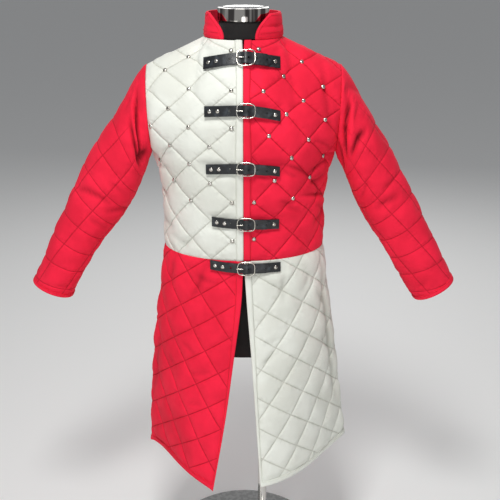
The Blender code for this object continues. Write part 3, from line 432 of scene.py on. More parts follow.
@dataclass
class SleeveForm(Surface):
    """A sleeve on +X: u runs once round from the underarm, front first, and v down to the cuff."""

    rows: tuple = RIGHT_SLEEVE
    fullness: float = 0.92

    def points(self, u: Array, v: Array) -> Array:
        """Points of the form."""
        angle = math.pi - 2 * math.pi * u
        front = u <= 0.5
        turn = np.abs(angle)
        at_seam = armhole(turn, np.where(front, -ARMHOLE_FRONT, ARMHOLE_BACK))
        at_seam[:, 0] += SEAM_GAP
        row = Profile(SLEEVE_COLUMNS, self.rows).at(v)
        outer = xyz(row["outer_x"], row["middle_y"], row["outer_z"])
        inner = xyz(row["inner_x"], row["middle_y"], row["inner_z"])
        ring = (outer + inner) / 2 + (outer - inner) / 2 * np.cos(angle)[:, None]
        way = np.where(front, -1.0, 1.0)
        ring[:, 1] += way * row["half_depth"] * np.abs(np.sin(angle)) ** self.fullness
        fold = np.exp(-(((v - FOLD_PLACE) / FOLD_WIDTH) ** 2)) * np.maximum(np.sin(turn), 0) ** 2
        ring[:, 1] -= way * FOLD_DEPTH * fold
        join = (np.maximum(1 - v / HEAD_SHARE, 0) ** 2)[:, None]
        return at_seam * join + ring * (1 - join)

    def hearts(self, points: Array, v: Array) -> Array:
        """The sleeve's middle line."""
        row = Profile(SLEEVE_COLUMNS, self.rows).at(v)
        x = (row["outer_x"] + row["inner_x"]) / 2
        return xyz(x, row["middle_y"], (row["outer_z"] + row["inner_z"]) / 2)

    def neighbours(self, u: Array, step: float) -> tuple[Array, Array]:
        """The shares just before and after u, round the closed sleeve."""
        return (u - step) % 1, (u + step) % 1

    def measure(self, points: Array, v: Array) -> tuple[Array, Array]:
        """Real distances that the stitch plan is drawn by.

        Args:
            points: The form's points, row by row.
            v: The share of each row.

        Returns:
            The distance round from the sleeve's front middle, and the length down its middle line.
        """
        front_middle = (points.shape[1] - 1) // 4
        round_it = travelled(points)
        round_it = round_it - round_it[:, [front_middle]]
        down = travelled(self.hearts(points[:, 0], v))
        return round_it, np.broadcast_to(down[:, None], round_it.shape)


@dataclass
class CollarForm(Surface):
    """The stand collar: u runs from the wearer's right end round the back to the left, v upwards.

    Its ends stand at these angles from the front at the base, and open by these at the top.
    """

    right_end: float = 30.0
    left_end: float = 17.6
    right_open: float = 37.0
    left_open: float = 29.0
    open_power: float = 2.2
    lean_in: float = 0.006
    lean_deeper: float = 1.3

    def points(self, u: Array, v: Array) -> Array:
        """Points of the form."""
        opened = v**self.open_power
        right = np.radians(self.right_end + self.right_open * opened)
        left = np.radians(self.left_end + self.left_open * opened)
        angle = -right - u * (2 * math.pi - right - left)
        lean = v * self.lean_in
        depth = np.where(np.cos(angle) > 0, NECK_FRONT, NECK_BACK) - self.lean_deeper * lean
        x = (NECK_HALF_WIDTH - lean) * np.sin(angle)
        return xyz(x, -depth * np.cos(angle), NECK_Z + SEAM_GAP + self.height * v)


class QuiltLines:
    """Two families of stitch lines on a panel's flat pattern, which cut it into cells."""

    def place(self, a: Array, b: Array) -> tuple[Array, Array]:
        """Flat places in metres of places counted in cells."""
        raise NotImplementedError

    def cells(self, s: Array, t: Array) -> tuple[Array, Array]:
        """Places counted in cells of flat places in metres."""
        raise NotImplementedError

    def span(self, width: float, height: float) -> tuple[tuple[int, int], tuple[int, int]]:
        """The whole cells that cover a panel.

        Args:
            width: The panel's flat width.
            height: The panel's flat height.

        Returns:
            The first and the last cell of each family.
        """
        share = np.linspace(0, 1, 80)
        low, high = 0 * share, 0 * share + 1
        s = np.concatenate([share, share, low, high]) * width
        t = np.concatenate([low, high, share, share]) * height
        a, b = self.cells(s, t)
        return (math.floor(a.min()), math.ceil(a.max())), (math.floor(b.min()), math.ceil(b.max()))

    def crossings(
        self, width: float, height: float, margin: float, last_b: int
    ) -> list[tuple[float, float]]:
        """Where stitch lines cross.

        Args:
            width: The panel's flat width.
            height: The panel's flat height.
            margin: How far from its rims a crossing has to be.
            last_b: The last line of the second family that counts.

        Returns:
            Flat places in metres.
        """
        (low_a, high_a), (low_b, high_b) = self.span(width, height)
        high_b = min(high_b, last_b)
        a, b = np.meshgrid(np.arange(low_a, high_a + 1.0), np.arange(low_b, high_b + 1.0))
        s, t = self.place(a.ravel(), b.ravel())
        return [
            (float(x), float(y))
            for x, y in zip(s, t)
            if margin < x < width - margin and margin < y < height - margin
        ]


@dataclass(frozen=True)
class Lattice(QuiltLines):
    """Straight stitch lines along two cell sides, from one crossing."""

    origin: tuple[float, float]
    side_a: tuple[float, float]
    side_b: tuple[float, float]

    def place(self, a: Array, b: Array) -> tuple[Array, Array]:
        """Flat places in metres of places counted in cells."""
        s = self.origin[0] + a * self.side_a[0] + b * self.side_b[0]
        t = self.origin[1] + a * self.side_a[1] + b * self.side_b[1]
        return s, t

    def cells(self, s: Array, t: Array) -> tuple[Array, Array]:
        """Places counted in cells of flat places in metres."""
        s, t = s - self.origin[0], t - self.origin[1]
        area = self.side_a[0] * self.side_b[1] - self.side_b[0] * self.side_a[1]
        a = (s * self.side_b[1] - t * self.side_b[0]) / area
        b = (t * self.side_a[0] - s * self.side_a[1]) / area
        return a, b


@dataclass(frozen=True)
class StudRows:
    """The bodice's stitch plan: stud columns by distance round, and stud rows by height.

    Each row pairs a height with its number. Above lean_from the columns lean by this share of the
    height, and above spread_from they spread apart. The rows rise towards the side by sag, and fan
    out from the middle by fan, within the two limits.
    """

    first: float
    pitch: float
    rows: tuple[tuple[float, float], ...]
    lean: float = 0.0
    sag: float = 0.0
    spread: float = 3.0
    fan: float = 0.0
    lean_from: float = 1.16
    spread_from: float = 1.354
    fan_from: float = 1.12
    fan_middle: float = 0.10
    fan_limits: tuple[float, float] = (-0.05, 0.28)
    last_stud_line: int = 0
    edge: float = 0.028
    side: float = 0.24

    def cells(self, p: Array, z: Array) -> tuple[Array, Array]:
        """Counts cells.

        Args:
            p: Distances round from the centre.
            z: Heights.

        Returns:
            The places counted in cells of each family of lines.
        """
        apart = 1 + self.spread * np.maximum(z - self.spread_from, 0)
        near = self.edge + (p - self.edge) / apart
        column = (near + self.lean * np.maximum(z - self.lean_from, 0) - self.first) / self.pitch
        level = z + self.sag * (p / self.side) ** 2
        fanned = np.clip(self.fan * (z - self.fan_from), *self.fan_limits)
        level = level + fanned * (p - self.fan_middle)
        heights, numbers = np.array(self.rows).T
        last = len(heights) - 2
        low = np.clip(np.searchsorted(heights[1:], level), 0, last)
        share = (level - heights[low]) / (heights[low + 1] - heights[low])
        row = numbers[low] + share * (numbers[low + 1] - numbers[low])
        return (column + row) / 2, (column - row) / 2


@dataclass
class DrawnLines(QuiltLines):
    """Stitch lines planned by real distances on the curved form, read back on its flat pattern."""

    surface: Surface
    plan: Lattice | StudRows
    columns: int = 81
    rows: int = 141
    table: Array = field(init=False)

    def __post_init__(self) -> None:
        """Draws the plan on the form."""
        u, v = np.linspace(0, 1, self.columns), np.linspace(0, 1, self.rows)
        grid_u, grid_v = np.meshgrid(u, v)
        points = self.surface.points(grid_u.ravel(), grid_v.ravel())
        points = points.reshape(self.rows, self.columns, 3)
        self.table = np.stack(self.plan.cells(*self.surface.measure(points, v)), axis=2)

    def read(self, u: Array, v: Array) -> Array:
        """The cells at shares of the pattern, carried straight on beyond its rims."""
        x, y = u * (self.columns - 1), v * (self.rows - 1)
        i = np.clip(np.floor(x).astype(int), 0, self.columns - 2)
        j = np.clip(np.floor(y).astype(int), 0, self.rows - 2)
        right, up = (x - i)[:, None], (y - j)[:, None]
        table = self.table
        low = table[j, i] * (1 - right) + table[j, i + 1] * right
        high = table[j + 1, i] * (1 - right) + table[j + 1, i + 1] * right
        return low * (1 - up) + high * up

    def cells(self, s: Array, t: Array) -> tuple[Array, Array]:
        """Places counted in cells of flat places in metres."""
        found = self.read(np.atleast_1d(s) / self.surface.width, np.atleast_1d(t) / self.surface.height)
        return found[:, 0], found[:, 1]

    def place(self, a: Array, b: Array) -> tuple[Array, Array]:
        """Flat places in metres of places counted in cells, found step by step.

        Args:
            a: Places counted across the first family of lines.
            b: Places counted across the second.

        Returns:
            The flat places, none far outside the panel.
        """
        wanted = np.stack([a, b], axis=1)
        u, v = np.full(len(wanted), 0.5), np.full(len(wanted), 0.5)
        step, reach, farthest, rounds = 0.002, 0.12, 0.25, 40
        for _ in range(rounds):
            found = self.read(u, v)
            along_u = (self.read(u + step, v) - found) / step
            along_v = (self.read(u, v + step) - found) / step
            miss = wanted - found
            area = along_u[:, 0] * along_v[:, 1] - along_u[:, 1] * along_v[:, 0]
            area = np.where(np.abs(area) < 1e-6, 1e-6, area)
            move_u = (miss[:, 0] * along_v[:, 1] - miss[:, 1] * along_v[:, 0]) / area
            move_v = (along_u[:, 0] * miss[:, 1] - along_u[:, 1] * miss[:, 0]) / area
            u = np.clip(u + np.clip(move_u, -reach, reach), -farthest, 1 + farthest)
            v = np.clip(v + np.clip(move_v, -reach, reach), -farthest, 1 + farthest)
        return u * self.surface.width, v * self.surface.height


@dataclass(frozen=True)
class Fold:
    """A soft trough in the cloth, or a ridge where its depth is below zero.

    The ends are shares of the panel's flat width and height, and bow is how far its middle bends
    aside as a share of its length.
    """

    start: tuple[float, float]
    end: tuple[float, float]
    width: float
    depth: float
    bow: float = 0.0
    fall: float = 1.5
    ends: float = 0.6

    def lift(self, s: Array, t: Array, surface: Surface) -> Array:
        """How far the fold raises the cloth at flat places."""
        size = np.array([surface.width, surface.height])
        start, end = np.array(self.start) * size, np.array(self.end) * size
        line = end - start
        length = float(np.linalg.norm(line))
        line = line / length
        along = ((s - start[0]) * line[0] + (t - start[1]) * line[1]) / length
        inside = np.sin(math.pi * np.clip(along, 0, 1))
        across = (t - start[1]) * line[0] - (s - start[0]) * line[1] - self.bow * length * inside
        trough = np.exp(-(np.abs(across / self.width) ** self.fall))
        return -self.depth * trough * inside**self.ends


@dataclass(frozen=True)
class Padding:
    """How the padding swells between stitch lines, seams and bindings."""

    lift: float = 0.0058
    fullness: float = 0.42
    rims: tuple[float | None, float | None, float | None, float | None] = (0.003,) * 4
    rise: float = 0.020
    presses: tuple[tuple[float, float, float, float], ...] = ()
    slack: tuple[float, float] | None = None
    slack_height: float = 0.75
    rim_power: float = 0.5
    press_rise: float = 0.012
    press_power: float = 0.6

    def tightness(self, t: Array) -> Array:
        """How tightly the stitching draws the padding down: slack cloth hides it near one end."""
        if self.slack is None:
            return np.ones(len(t))
        return ease(np.clip((t - self.slack[0]) / (self.slack[1] - self.slack[0]), 0, 1))

    def puff(self, s: Array, t: Array, surface: Surface, lattice: QuiltLines) -> Array:
        """How far the padding stands out from the stitch lines at flat places."""
        a, b = lattice.cells(s, t)
        fa, fb = a - np.floor(a), b - np.floor(b)
        pillow = (16 * fa * (1 - fa) * fb * (1 - fb)) ** self.fullness
        pillow = self.slack_height + (pillow - self.slack_height) * self.tightness(t)
        reach = (s, surface.width - s, t, surface.height - t)
        for distance, rim in zip(reach, self.rims):
            if rim is not None:
                pillow = pillow * np.clip((distance - rim) / self.rise, 0, 1) ** self.rim_power
        for low_s, high_s, low_t, high_t in self.presses:
            aside = np.maximum(np.maximum(low_s - s, s - high_s), 0)
            apart = np.maximum(np.maximum(low_t - t, t - high_t), 0)
            clear = np.clip(np.hypot(aside, apart) / self.press_rise, 0, 1)
            pillow = pillow * clear**self.press_power
        return pillow * self.lift


def linear(colour: str) -> Colour:
    """Turns an sRGB hex colour into linear light.

    Args:
        colour: Six hex digits after a hash.

    Returns:
        Red, green, blue and a full alpha.
    """
    parts = [int(colour[k : k + 2], 16) / 255 for k in (1, 3, 5)]
    light = [p / 12.92 if p <= 0.04045 else ((p + 0.055) / 1.055) ** 2.4 for p in parts]
    return (*light, 1.0)


def add_node(
    tree: bpy.types.NodeTree, kind: str, inputs: dict | None = None, **settings: object
) -> bpy.types.Node:
    """Adds a node with its settings and links.

    Args:
        tree: The material's node tree.
        kind: The node's type.
        inputs: Values or other nodes' sockets for its own sockets, by name or number.
        settings: Fields of the node.

    Returns:
        The node.
    """
    node = tree.nodes.new(kind)
    for name, value in settings.items():
        setattr(node, name, value)
    for socket, value in (inputs or {}).items():
        if isinstance(value, bpy.types.NodeSocket):
            tree.links.new(value, node.inputs[socket])
        else:
            node.inputs[socket].default_value = value
    return node


@dataclass
class Recipe:
    """A material that is being put together, with short names for sums and noise."""

    name: str
    tree: bpy.types.NodeTree = field(init=False)
    material: bpy.types.Material = field(init=False)

    def __post_init__(self) -> None:
        """Starts the material with an empty tree."""
        self.material = bpy.data.materials.new(self.name)
        self.material.use_nodes = True
        self.tree = self.material.node_tree
        self.tree.nodes.clear()

    def math(self, operation: str, *values: object, clamp: bool = False) -> bpy.types.NodeSocket:
        """The result of one sum."""
        inputs = dict(enumerate(values))
        node = add_node(self.tree, "ShaderNodeMath", inputs, operation=operation, use_clamp=clamp)
        return node.outputs[0]

    def ramp(self, value: object, low: float, high: float, start: float, end: float) -> object:
        """Turns low to high into start to end, smoothly, and holds it outside."""
        inputs = {"Value": value, 1: low, 2: high, 3: start, 4: end}
        node = add_node(
            self.tree, "ShaderNodeMapRange", inputs, interpolation_type="SMOOTHSTEP", clamp=True
        )
        return node.outputs[0]

    def noise(self, vector: object, scale: float, detail: float = 2.0) -> bpy.types.NodeSocket:
        """Noise from 0 to 1."""
        inputs = {"Vector": vector, "Scale": scale, "Detail": detail, "Roughness": 0.55}
        return add_node(self.tree, "ShaderNodeTexNoise", inputs).outputs[0]

    def place(self) -> bpy.types.NodeSocket:
        """Object coordinates, in metres."""
        return add_node(self.tree, "ShaderNodeTexCoord").outputs["Object"]

    def attribute(self, name: str) -> bpy.types.NodeSocket:
        """A number that the mesh carries."""
        return add_node(self.tree, "ShaderNodeAttribute", attribute_name=name).outputs["Fac"]

    def mixed(self, share: object, first: object, second: object) -> bpy.types.NodeSocket:
        """One colour passing into another. The mix node's colours are its sockets 6, 7 and 2."""
        inputs = {0: share, 6: first, 7: second}
        return add_node(self.tree, "ShaderNodeMix", inputs, data_type="RGBA").outputs[2]

    def map(self, name: str) -> bpy.types.NodeSocket:
        """One of the mesh's flat maps."""
        return add_node(self.tree, "ShaderNodeUVMap", uv_map=name).outputs[0]

    def split(self, vector: object) -> Sequence[bpy.types.NodeSocket]:
        """A vector's three parts."""
        return add_node(self.tree, "ShaderNodeSeparateXYZ", {0: vector}).outputs

    def scaled(self, vector: object, scale: tuple[float, float, float]) -> bpy.types.NodeSocket:
        """A vector with each part multiplied."""
        inputs = {0: vector, 1: scale}
        return add_node(self.tree, "ShaderNodeVectorMath", inputs, operation="MULTIPLY").outputs[0]

    def ripple(self, value: object, turns: float) -> bpy.types.NodeSocket:
        """A sine wave over a length, of so many radians for each metre."""
        return self.math("SINE", self.math("MULTIPLY", value, turns))

    def finish(self, height: object | None, **inputs: object) -> bpy.types.Material:
        """Adds the shader.

        Args:
            height: The relief in metres, or None for none.
            inputs: The shader's sockets, with underscores for spaces.

        Returns:
            The finished material.
        """
        sockets = {name.replace("_", " "): value for name, value in inputs.items()}
        if height is not None:
            bump = {"Height": height, "Distance": 1.0, "Strength": 1.0}
            sockets["Normal"] = add_node(self.tree, "ShaderNodeBump", bump).outputs[0]
        shader = add_node(self.tree, "ShaderNodeBsdfPrincipled", sockets)
        add_node(self.tree, "ShaderNodeOutputMaterial", {"Surface": shader.outputs[0]})
        return self.material


@dataclass(frozen=True)
class QuiltedCotton:
    """Plain-woven cotton over padding: matt and softly bloomed, puckered along its stitching.

    Painted shade darkens its fold troughs and the creases of its stitch lines. Pitches and depths are in
    metres.
    The reach of a pucker and the width of a crease are shares of a quilting cell.
    """

    name: str
    colour: str
    shade: str
    bloom: str
    fold_shade: str
    stitched: bool = True
    cell: float = 0.071
    crumple_pitch: float = 0.045
    crumple_depth: float = 0.0016
    slub_pitch: float = 0.009
    slub_depth: float = 0.00025
    cloud_pitch: float = 0.12
    cloud_share: float = 0.35
    thread_pitch: float = 0.0012
    thread_depth: float = 0.00006
    pucker_depth: float = 0.0033
    pucker_reach: float = 0.30
    puckers_across: float = 1.6
    puckers_along: float = 7.0
    crease_width: float = 0.034
    crease_depth: float = 0.0005
    crease_shade_share: float = 0.75
    fold_shade_share: float = 0.85
    stitch_pitch: float = 0.004
    stitch_gap: float = 0.28
    stitch_width: float = 0.001
    stitch_depth: float = 0.0004

    def build(self) -> bpy.types.Material:
        """Makes the material."""
        recipe = Recipe(self.name)
        place = recipe.place()
        crumple = recipe.noise(place, 1 / self.crumple_pitch, 3.0)
        height = recipe.math("MULTIPLY", crumple, self.crumple_depth)
        slubs = recipe.noise(place, 1 / self.slub_pitch, 2.0)
        height = recipe.math("MULTIPLY_ADD", slubs, self.slub_depth, height)
        height = recipe.math("ADD", height, self.weave(recipe))
        # Random clouds of the shade colour: the cloth's own uneven tone.
        clouds = recipe.noise(place, 1 / self.cloud_pitch, 3.0)
        tint = recipe.ramp(clouds, 0.35, 0.65, 0.0, self.cloud_share)
        colour = recipe.mixed(tint, linear(self.colour), linear(self.shade))
        if self.stitched:
            relief, crease = self.stitching(recipe)
            height = recipe.math("ADD", height, relief)
            # Painted shade: the creases of the stitch lines take the shade colour.
            painted_crease_shade = recipe.math("MULTIPLY", crease, self.crease_shade_share)
            colour = recipe.mixed(painted_crease_shade, colour, linear(self.shade))
        # Painted shade: the fold troughs take the fold shade colour, by the mesh's deep layer.
        painted_fold_shade = recipe.math("MULTIPLY", recipe.attribute("deep"), self.fold_shade_share)
        return recipe.finish(
            height,
            Base_Color=recipe.mixed(painted_fold_shade, colour, linear(self.fold_shade)),
            Roughness=0.86,
            Sheen_Weight=0.12,
            Sheen_Roughness=0.45,
            Sheen_Tint=linear(self.bloom),
            Specular_IOR_Level=0.25,
        )

    def weave(self, recipe: Recipe) -> bpy.types.NodeSocket:
        """Threads over and under each other, drawn twice as coarse as real so that they show."""
        across, along = recipe.split(recipe.map("flat"))[:2]
        turns = math.pi / self.thread_pitch
        crossed = recipe.math("MULTIPLY", recipe.ripple(across, turns), recipe.ripple(along, turns))
        return recipe.math("MULTIPLY", crossed, self.thread_depth)

    def stitching(self, recipe: Recipe) -> tuple[bpy.types.NodeSocket, bpy.types.NodeSocket]:
        """Puckers that cross the stitch lines, the lines' own creases, and their stitches.

        Args:
            recipe: The material.

        Returns:
            The relief in metres, and how deep in a crease each place is, from 0 to 1.
        """
        lines = recipe.map("quilt")
        a, b = recipe.split(lines)[:2]
        near_a, near_b = recipe.math("PINGPONG", a, 0.5), recipe.math("PINGPONG", b, 0.5)
        few, many = self.puckers_across, self.puckers_along
        relief = 0.0
        for near, scale in ((near_a, (few, many, 1.0)), (near_b, (many, few, 1.0))):
            wave = recipe.math("SUBTRACT", recipe.noise(recipe.scaled(lines, scale), 1.0, 1.0), 0.5)
            part = recipe.math("MULTIPLY", wave, recipe.ramp(near, 0.0, self.pucker_reach, 1.0, 0.0))
            relief = recipe.math("MULTIPLY_ADD", part, self.pucker_depth, relief)
        nearest = recipe.math("MINIMUM", near_a, near_b)
        crease = recipe.ramp(nearest, 0.0, self.crease_width, 1.0, 0.0)
        crease = recipe.math("MULTIPLY", crease, recipe.attribute("tight"))
        relief = recipe.math("MULTIPLY_ADD", crease, -self.crease_depth, relief)
        on_a = recipe.math("LESS_THAN", near_a, near_b)
        off_a = recipe.math("SUBTRACT", 1.0, on_a)
        along = recipe.math("MULTIPLY_ADD", off_a, a, recipe.math("MULTIPLY", on_a, b))
        step = recipe.math("FRACT", recipe.math("MULTIPLY", along, self.cell / self.stitch_pitch))
        thread = recipe.math("MULTIPLY", recipe.math("GREATER_THAN", step, self.stitch_gap), crease)
        narrow = recipe.math("LESS_THAN", nearest, self.stitch_width / 2 / self.cell)
        thread = recipe.math("MULTIPLY", thread, narrow)
        return recipe.math("MULTIPLY_ADD", thread, self.stitch_depth, relief), crease


@dataclass(frozen=True)
class StrapLeather:
    """Smooth vegetable-tanned strap leather, dyed black: satin, with a fine grain and greyer rubs."""

    name: str = "black_strap_leather"
    colour: str = "#17191C"
    rub: str = "#3E454B"
    grain_pitch: float = 0.0011
    grain_depth: float = 0.00010
    wrinkle_pitch: float = 0.006
    wrinkle_depth: float = 0.0004
    rub_pitch: float = 0.014

    def build(self) -> bpy.types.Material:
        """Makes the material."""
        recipe = Recipe(self.name)
        place = recipe.place()
        cells = {"Vector": place, "Scale": 1 / self.grain_pitch}
        grain = add_node(recipe.tree, "ShaderNodeTexVoronoi", cells).outputs[0]
        height = recipe.math("MULTIPLY", grain, self.grain_depth)
        wrinkle = recipe.noise(place, 1 / self.wrinkle_pitch, 3.0)
        height = recipe.math("MULTIPLY_ADD", wrinkle, self.wrinkle_depth, height)
        rubbed = recipe.ramp(recipe.noise(place, 1 / self.rub_pitch, 4.0), 0.48, 0.75, 0.0, 0.7)
        colour = recipe.mixed(rubbed, linear(self.colour), linear(self.rub))
        rough = recipe.ramp(wrinkle, 0.3, 0.7, 0.36, 0.52)
        return recipe.finish(height, Base_Color=colour, Roughness=rough)


@dataclass(frozen=True)
class PlatedSteel:
    """Plated steel: nickel with a soft polish, or bright chrome, each with darker bands round it.

    The bands are a painted reflection: they stand in for the dark half of a room that polished metal
    shows.
    """

    name: str
    colour: str
    roughness: float
    scuff: float
    band: str
    scuff_pitch: float = 0.004
    dent_pitch: float = 0.02
    dent_depth: float = 0.0006
    reflection_band_pitch: float = 0.016
    reflection_band_upright: float = 0.04

    def build(self) -> bpy.types.Material:
        """Makes the material."""
        recipe = Recipe(self.name)
        place = recipe.place()
        scuffs = recipe.noise(place, 1 / self.scuff_pitch, 3.0)
        rough = recipe.ramp(scuffs, 0.35, 0.75, self.roughness, self.roughness + self.scuff)
        dents = recipe.noise(place, 1 / self.dent_pitch, 1.0)
        height = recipe.math("MULTIPLY", dents, self.scuff * self.dent_depth)
        # Painted reflection: upright bands of the band colour round the piece.
        upright = recipe.scaled(place, (1.0, 1.0, self.reflection_band_upright))
        painted_reflection = recipe.ramp(recipe.noise(upright, 1 / self.reflection_band_pitch, 1.0), 0.42, 0.58, 0.0, 1.0)
        colour = recipe.mixed(painted_reflection, linear(self.band), linear(self.colour))
        return recipe.finish(height, Base_Color=colour, Roughness=rough, Metallic=1.0)


@dataclass(frozen=True)
class StretchJersey:
    """A black knitted cover stretched over the form: matt, with fine upright ribs of stitches."""

    name: str = "black_jersey_cover"
    colour: str = "#0D0C0C"
    worn: str = "#191716"
    rib: float = 0.0018
    rows_share: float = 0.75
    knit_depth: float = 0.00012
    cloud_pitch: float = 0.05

    def build(self) -> bpy.types.Material:
        """Makes the material."""
        recipe = Recipe(self.name)
        place = recipe.place()
        parts = recipe.split(place)
        turns = 2 * math.pi / self.rib
        ribs, rows = recipe.ripple(parts[0], turns), recipe.ripple(parts[2], turns * self.rows_share)
        height = recipe.math("MULTIPLY", recipe.math("MULTIPLY", ribs, rows), self.knit_depth)
        cloudy = recipe.ramp(recipe.noise(place, 1 / self.cloud_pitch, 3.0), 0.3, 0.7, 0.0, 1.0)
        colour = recipe.mixed(cloudy, linear(self.colour), linear(self.worn))
        return recipe.finish(
            height, Base_Color=colour, Roughness=0.92, Sheen_Weight=0.12, Sheen_Roughness=0.5
        )


@dataclass(frozen=True)
class SewingThread:
    """Twisted polyester sewing thread: a little brighter and glossier than the cloth."""

    name: str
    colour: str
    twist_pitch: float = 0.0006
    twist_depth: float = 0.00008

    def build(self) -> bpy.types.Material:
        """Makes the material."""
        recipe = Recipe(self.name)
        twist = recipe.noise(recipe.place(), 1 / self.twist_pitch, 1.0)
        height = recipe.math("MULTIPLY", twist, self.twist_depth)
        return recipe.finish(height, Base_Color=linear(self.colour), Roughness=0.6)


@dataclass(frozen=True)
class StudioPaper:
    """Pale seamless paper for the floor: matt, with hardly any grain."""

    name: str = "pale_studio_paper"
    colour: str = "#F1F1EF"
    grain_pitch: float = 0.01
    grain_depth: float = 0.0002

    def build(self) -> bpy.types.Material:
        """Makes the material."""
        recipe = Recipe(self.name)
        grain = recipe.noise(recipe.place(), 1 / self.grain_pitch, 2.0)
        height = recipe.math("MULTIPLY", grain, self.grain_depth)
        return recipe.finish(height, Base_Color=linear(self.colour), Roughness=0.9)


Finish = QuiltedCotton | StrapLeather | PlatedSteel | StretchJersey | SewingThread | StudioPaper


@cache
def finished(finish: Finish) -> bpy.types.Material:
    """The material of a finish, made once."""
    return finish.build()


@dataclass(frozen=True)
class Dye:
    """One of the coat's two colours: its quilted and its plain cotton, and a slot name that nothing
    reads.
    """

    quilted: QuiltedCotton
    slot: str

    @property
    def plain(self) -> QuiltedCotton:
        """The same cotton without quilting."""
        return replace(self.quilted, name=f"{self.quilted.name}_plain", stitched=False)


# Each cotton's colours: its own; a deeper tone that clouds it at random and is painted shade in the
# stitch-line creases; its sheen tint; and painted shade for the fold troughs.
RED = Dye(QuiltedCotton("red_cotton", "#FA2142", "#BE0C26", "#FF7A86", "#6E0412"), "red_cloth")
WHITE = Dye(
    QuiltedCotton("off_white_cotton", "#E9EBE2", "#C9C9BC", "#FFFFFF", "#A3A498"), "white_cloth"
)
RED_THREAD = SewingThread("red_thread", "#C81028")
WHITE_THREAD = SewingThread("off_white_thread", "#D8D8CB")
# The last colour of each plated finish is that of its painted reflection bands.
NICKEL = PlatedSteel("nickel_plate", "#D2CFC8", 0.16, 0.16, "#BDB9B0")
CHROME = PlatedSteel("polished_chrome", "#F0ECE4", 0.06, 0.05, "#6A6664")
STAND_CHROME = PlatedSteel("stand_chrome", "#DCDAD6", 0.06, 0.06, "#C9C7C3")
LEATHER = StrapLeather()
JERSEY = StretchJersey()


def link(name: str, data: bpy.types.ID) -> bpy.types.Object:
    """A new object in the scene, from its data."""
    made = bpy.data.objects.new(name, data)
    bpy.context.scene.collection.objects.link(made)
    return made


def discard(made: bpy.types.Object) -> None:
    """Removes an object and its mesh."""
    data = made.data
    bpy.data.objects.remove(made)
    bpy.data.meshes.remove(data)


def cut(
    mesh: bmesh.types.BMesh, place: Sequence[float], away: Sequence[float], drop: bool = False
) -> None:
    """Cuts a mesh along a plane.

    Args:
        mesh: The mesh.
        place: A point of the plane.
        away: The plane's normal.
        drop: Whether what lies beyond the plane goes.
    """
    geom = mesh.verts[:] + mesh.edges[:] + mesh.faces[:]
    bmesh.ops.bisect_plane(mesh, geom=geom, dist=1e-5, plane_co=place, plane_no=away, clear_outer=drop)


def thicken(mesh: bmesh.types.BMesh) -> list[bmesh.types.BMVert]:
    """Doubles a flat mesh into a closed wall, and gives the corners of its second face."""
    made = bmesh.ops.extrude_face_region(mesh, geom=mesh.faces[:], use_keep_orig=True)
    return [found for found in made["geom"] if isinstance(found, bmesh.types.BMVert)]


def bevel(mesh: bmesh.types.BMesh, edges: list[bmesh.types.BMEdge], width: float) -> None:
    """Rounds edges in two steps."""
    steps = {"segments": 2, "profile": 0.5, "affect": "EDGES", "material": -1, "clamp_overlap": True}
    bmesh.ops.bevel(mesh, geom=edges, offset=width, **steps)


def make_object(name: str, mesh: bmesh.types.BMesh, material: bpy.types.Material) -> bpy.types.Object:
    """Turns a mesh into a finished object at the origin.

    Args:
        name: The piece's name.
        mesh: The mesh, which is freed.
        material: Its finish.

    Returns:
        The object, linked to the scene.
    """
    data = bpy.data.meshes.new(name)
    mesh.to_mesh(data)
    mesh.free()
    data.shade_smooth()
    data.materials.append(material)
    return link(name, data)


def declare(piece: bpy.types.Object, nodes: Iterable[str] = ()) -> bpy.types.Object:
    """Joins a piece to the frame.

    Args:
        piece: The piece.
        nodes: The frame's solids that it stands for.

    Returns:
        The piece.
    """
    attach(piece, BODY)
    nodes = tuple(nodes)
    if nodes:
        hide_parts(*nodes)
    triangles = sum(len(face.vertices) - 2 for face in piece.data.polygons)
    LOG.info("%s: %d triangles, stands for %s", piece.name, triangles, ", ".join(nodes) or "nothing")
    return piece


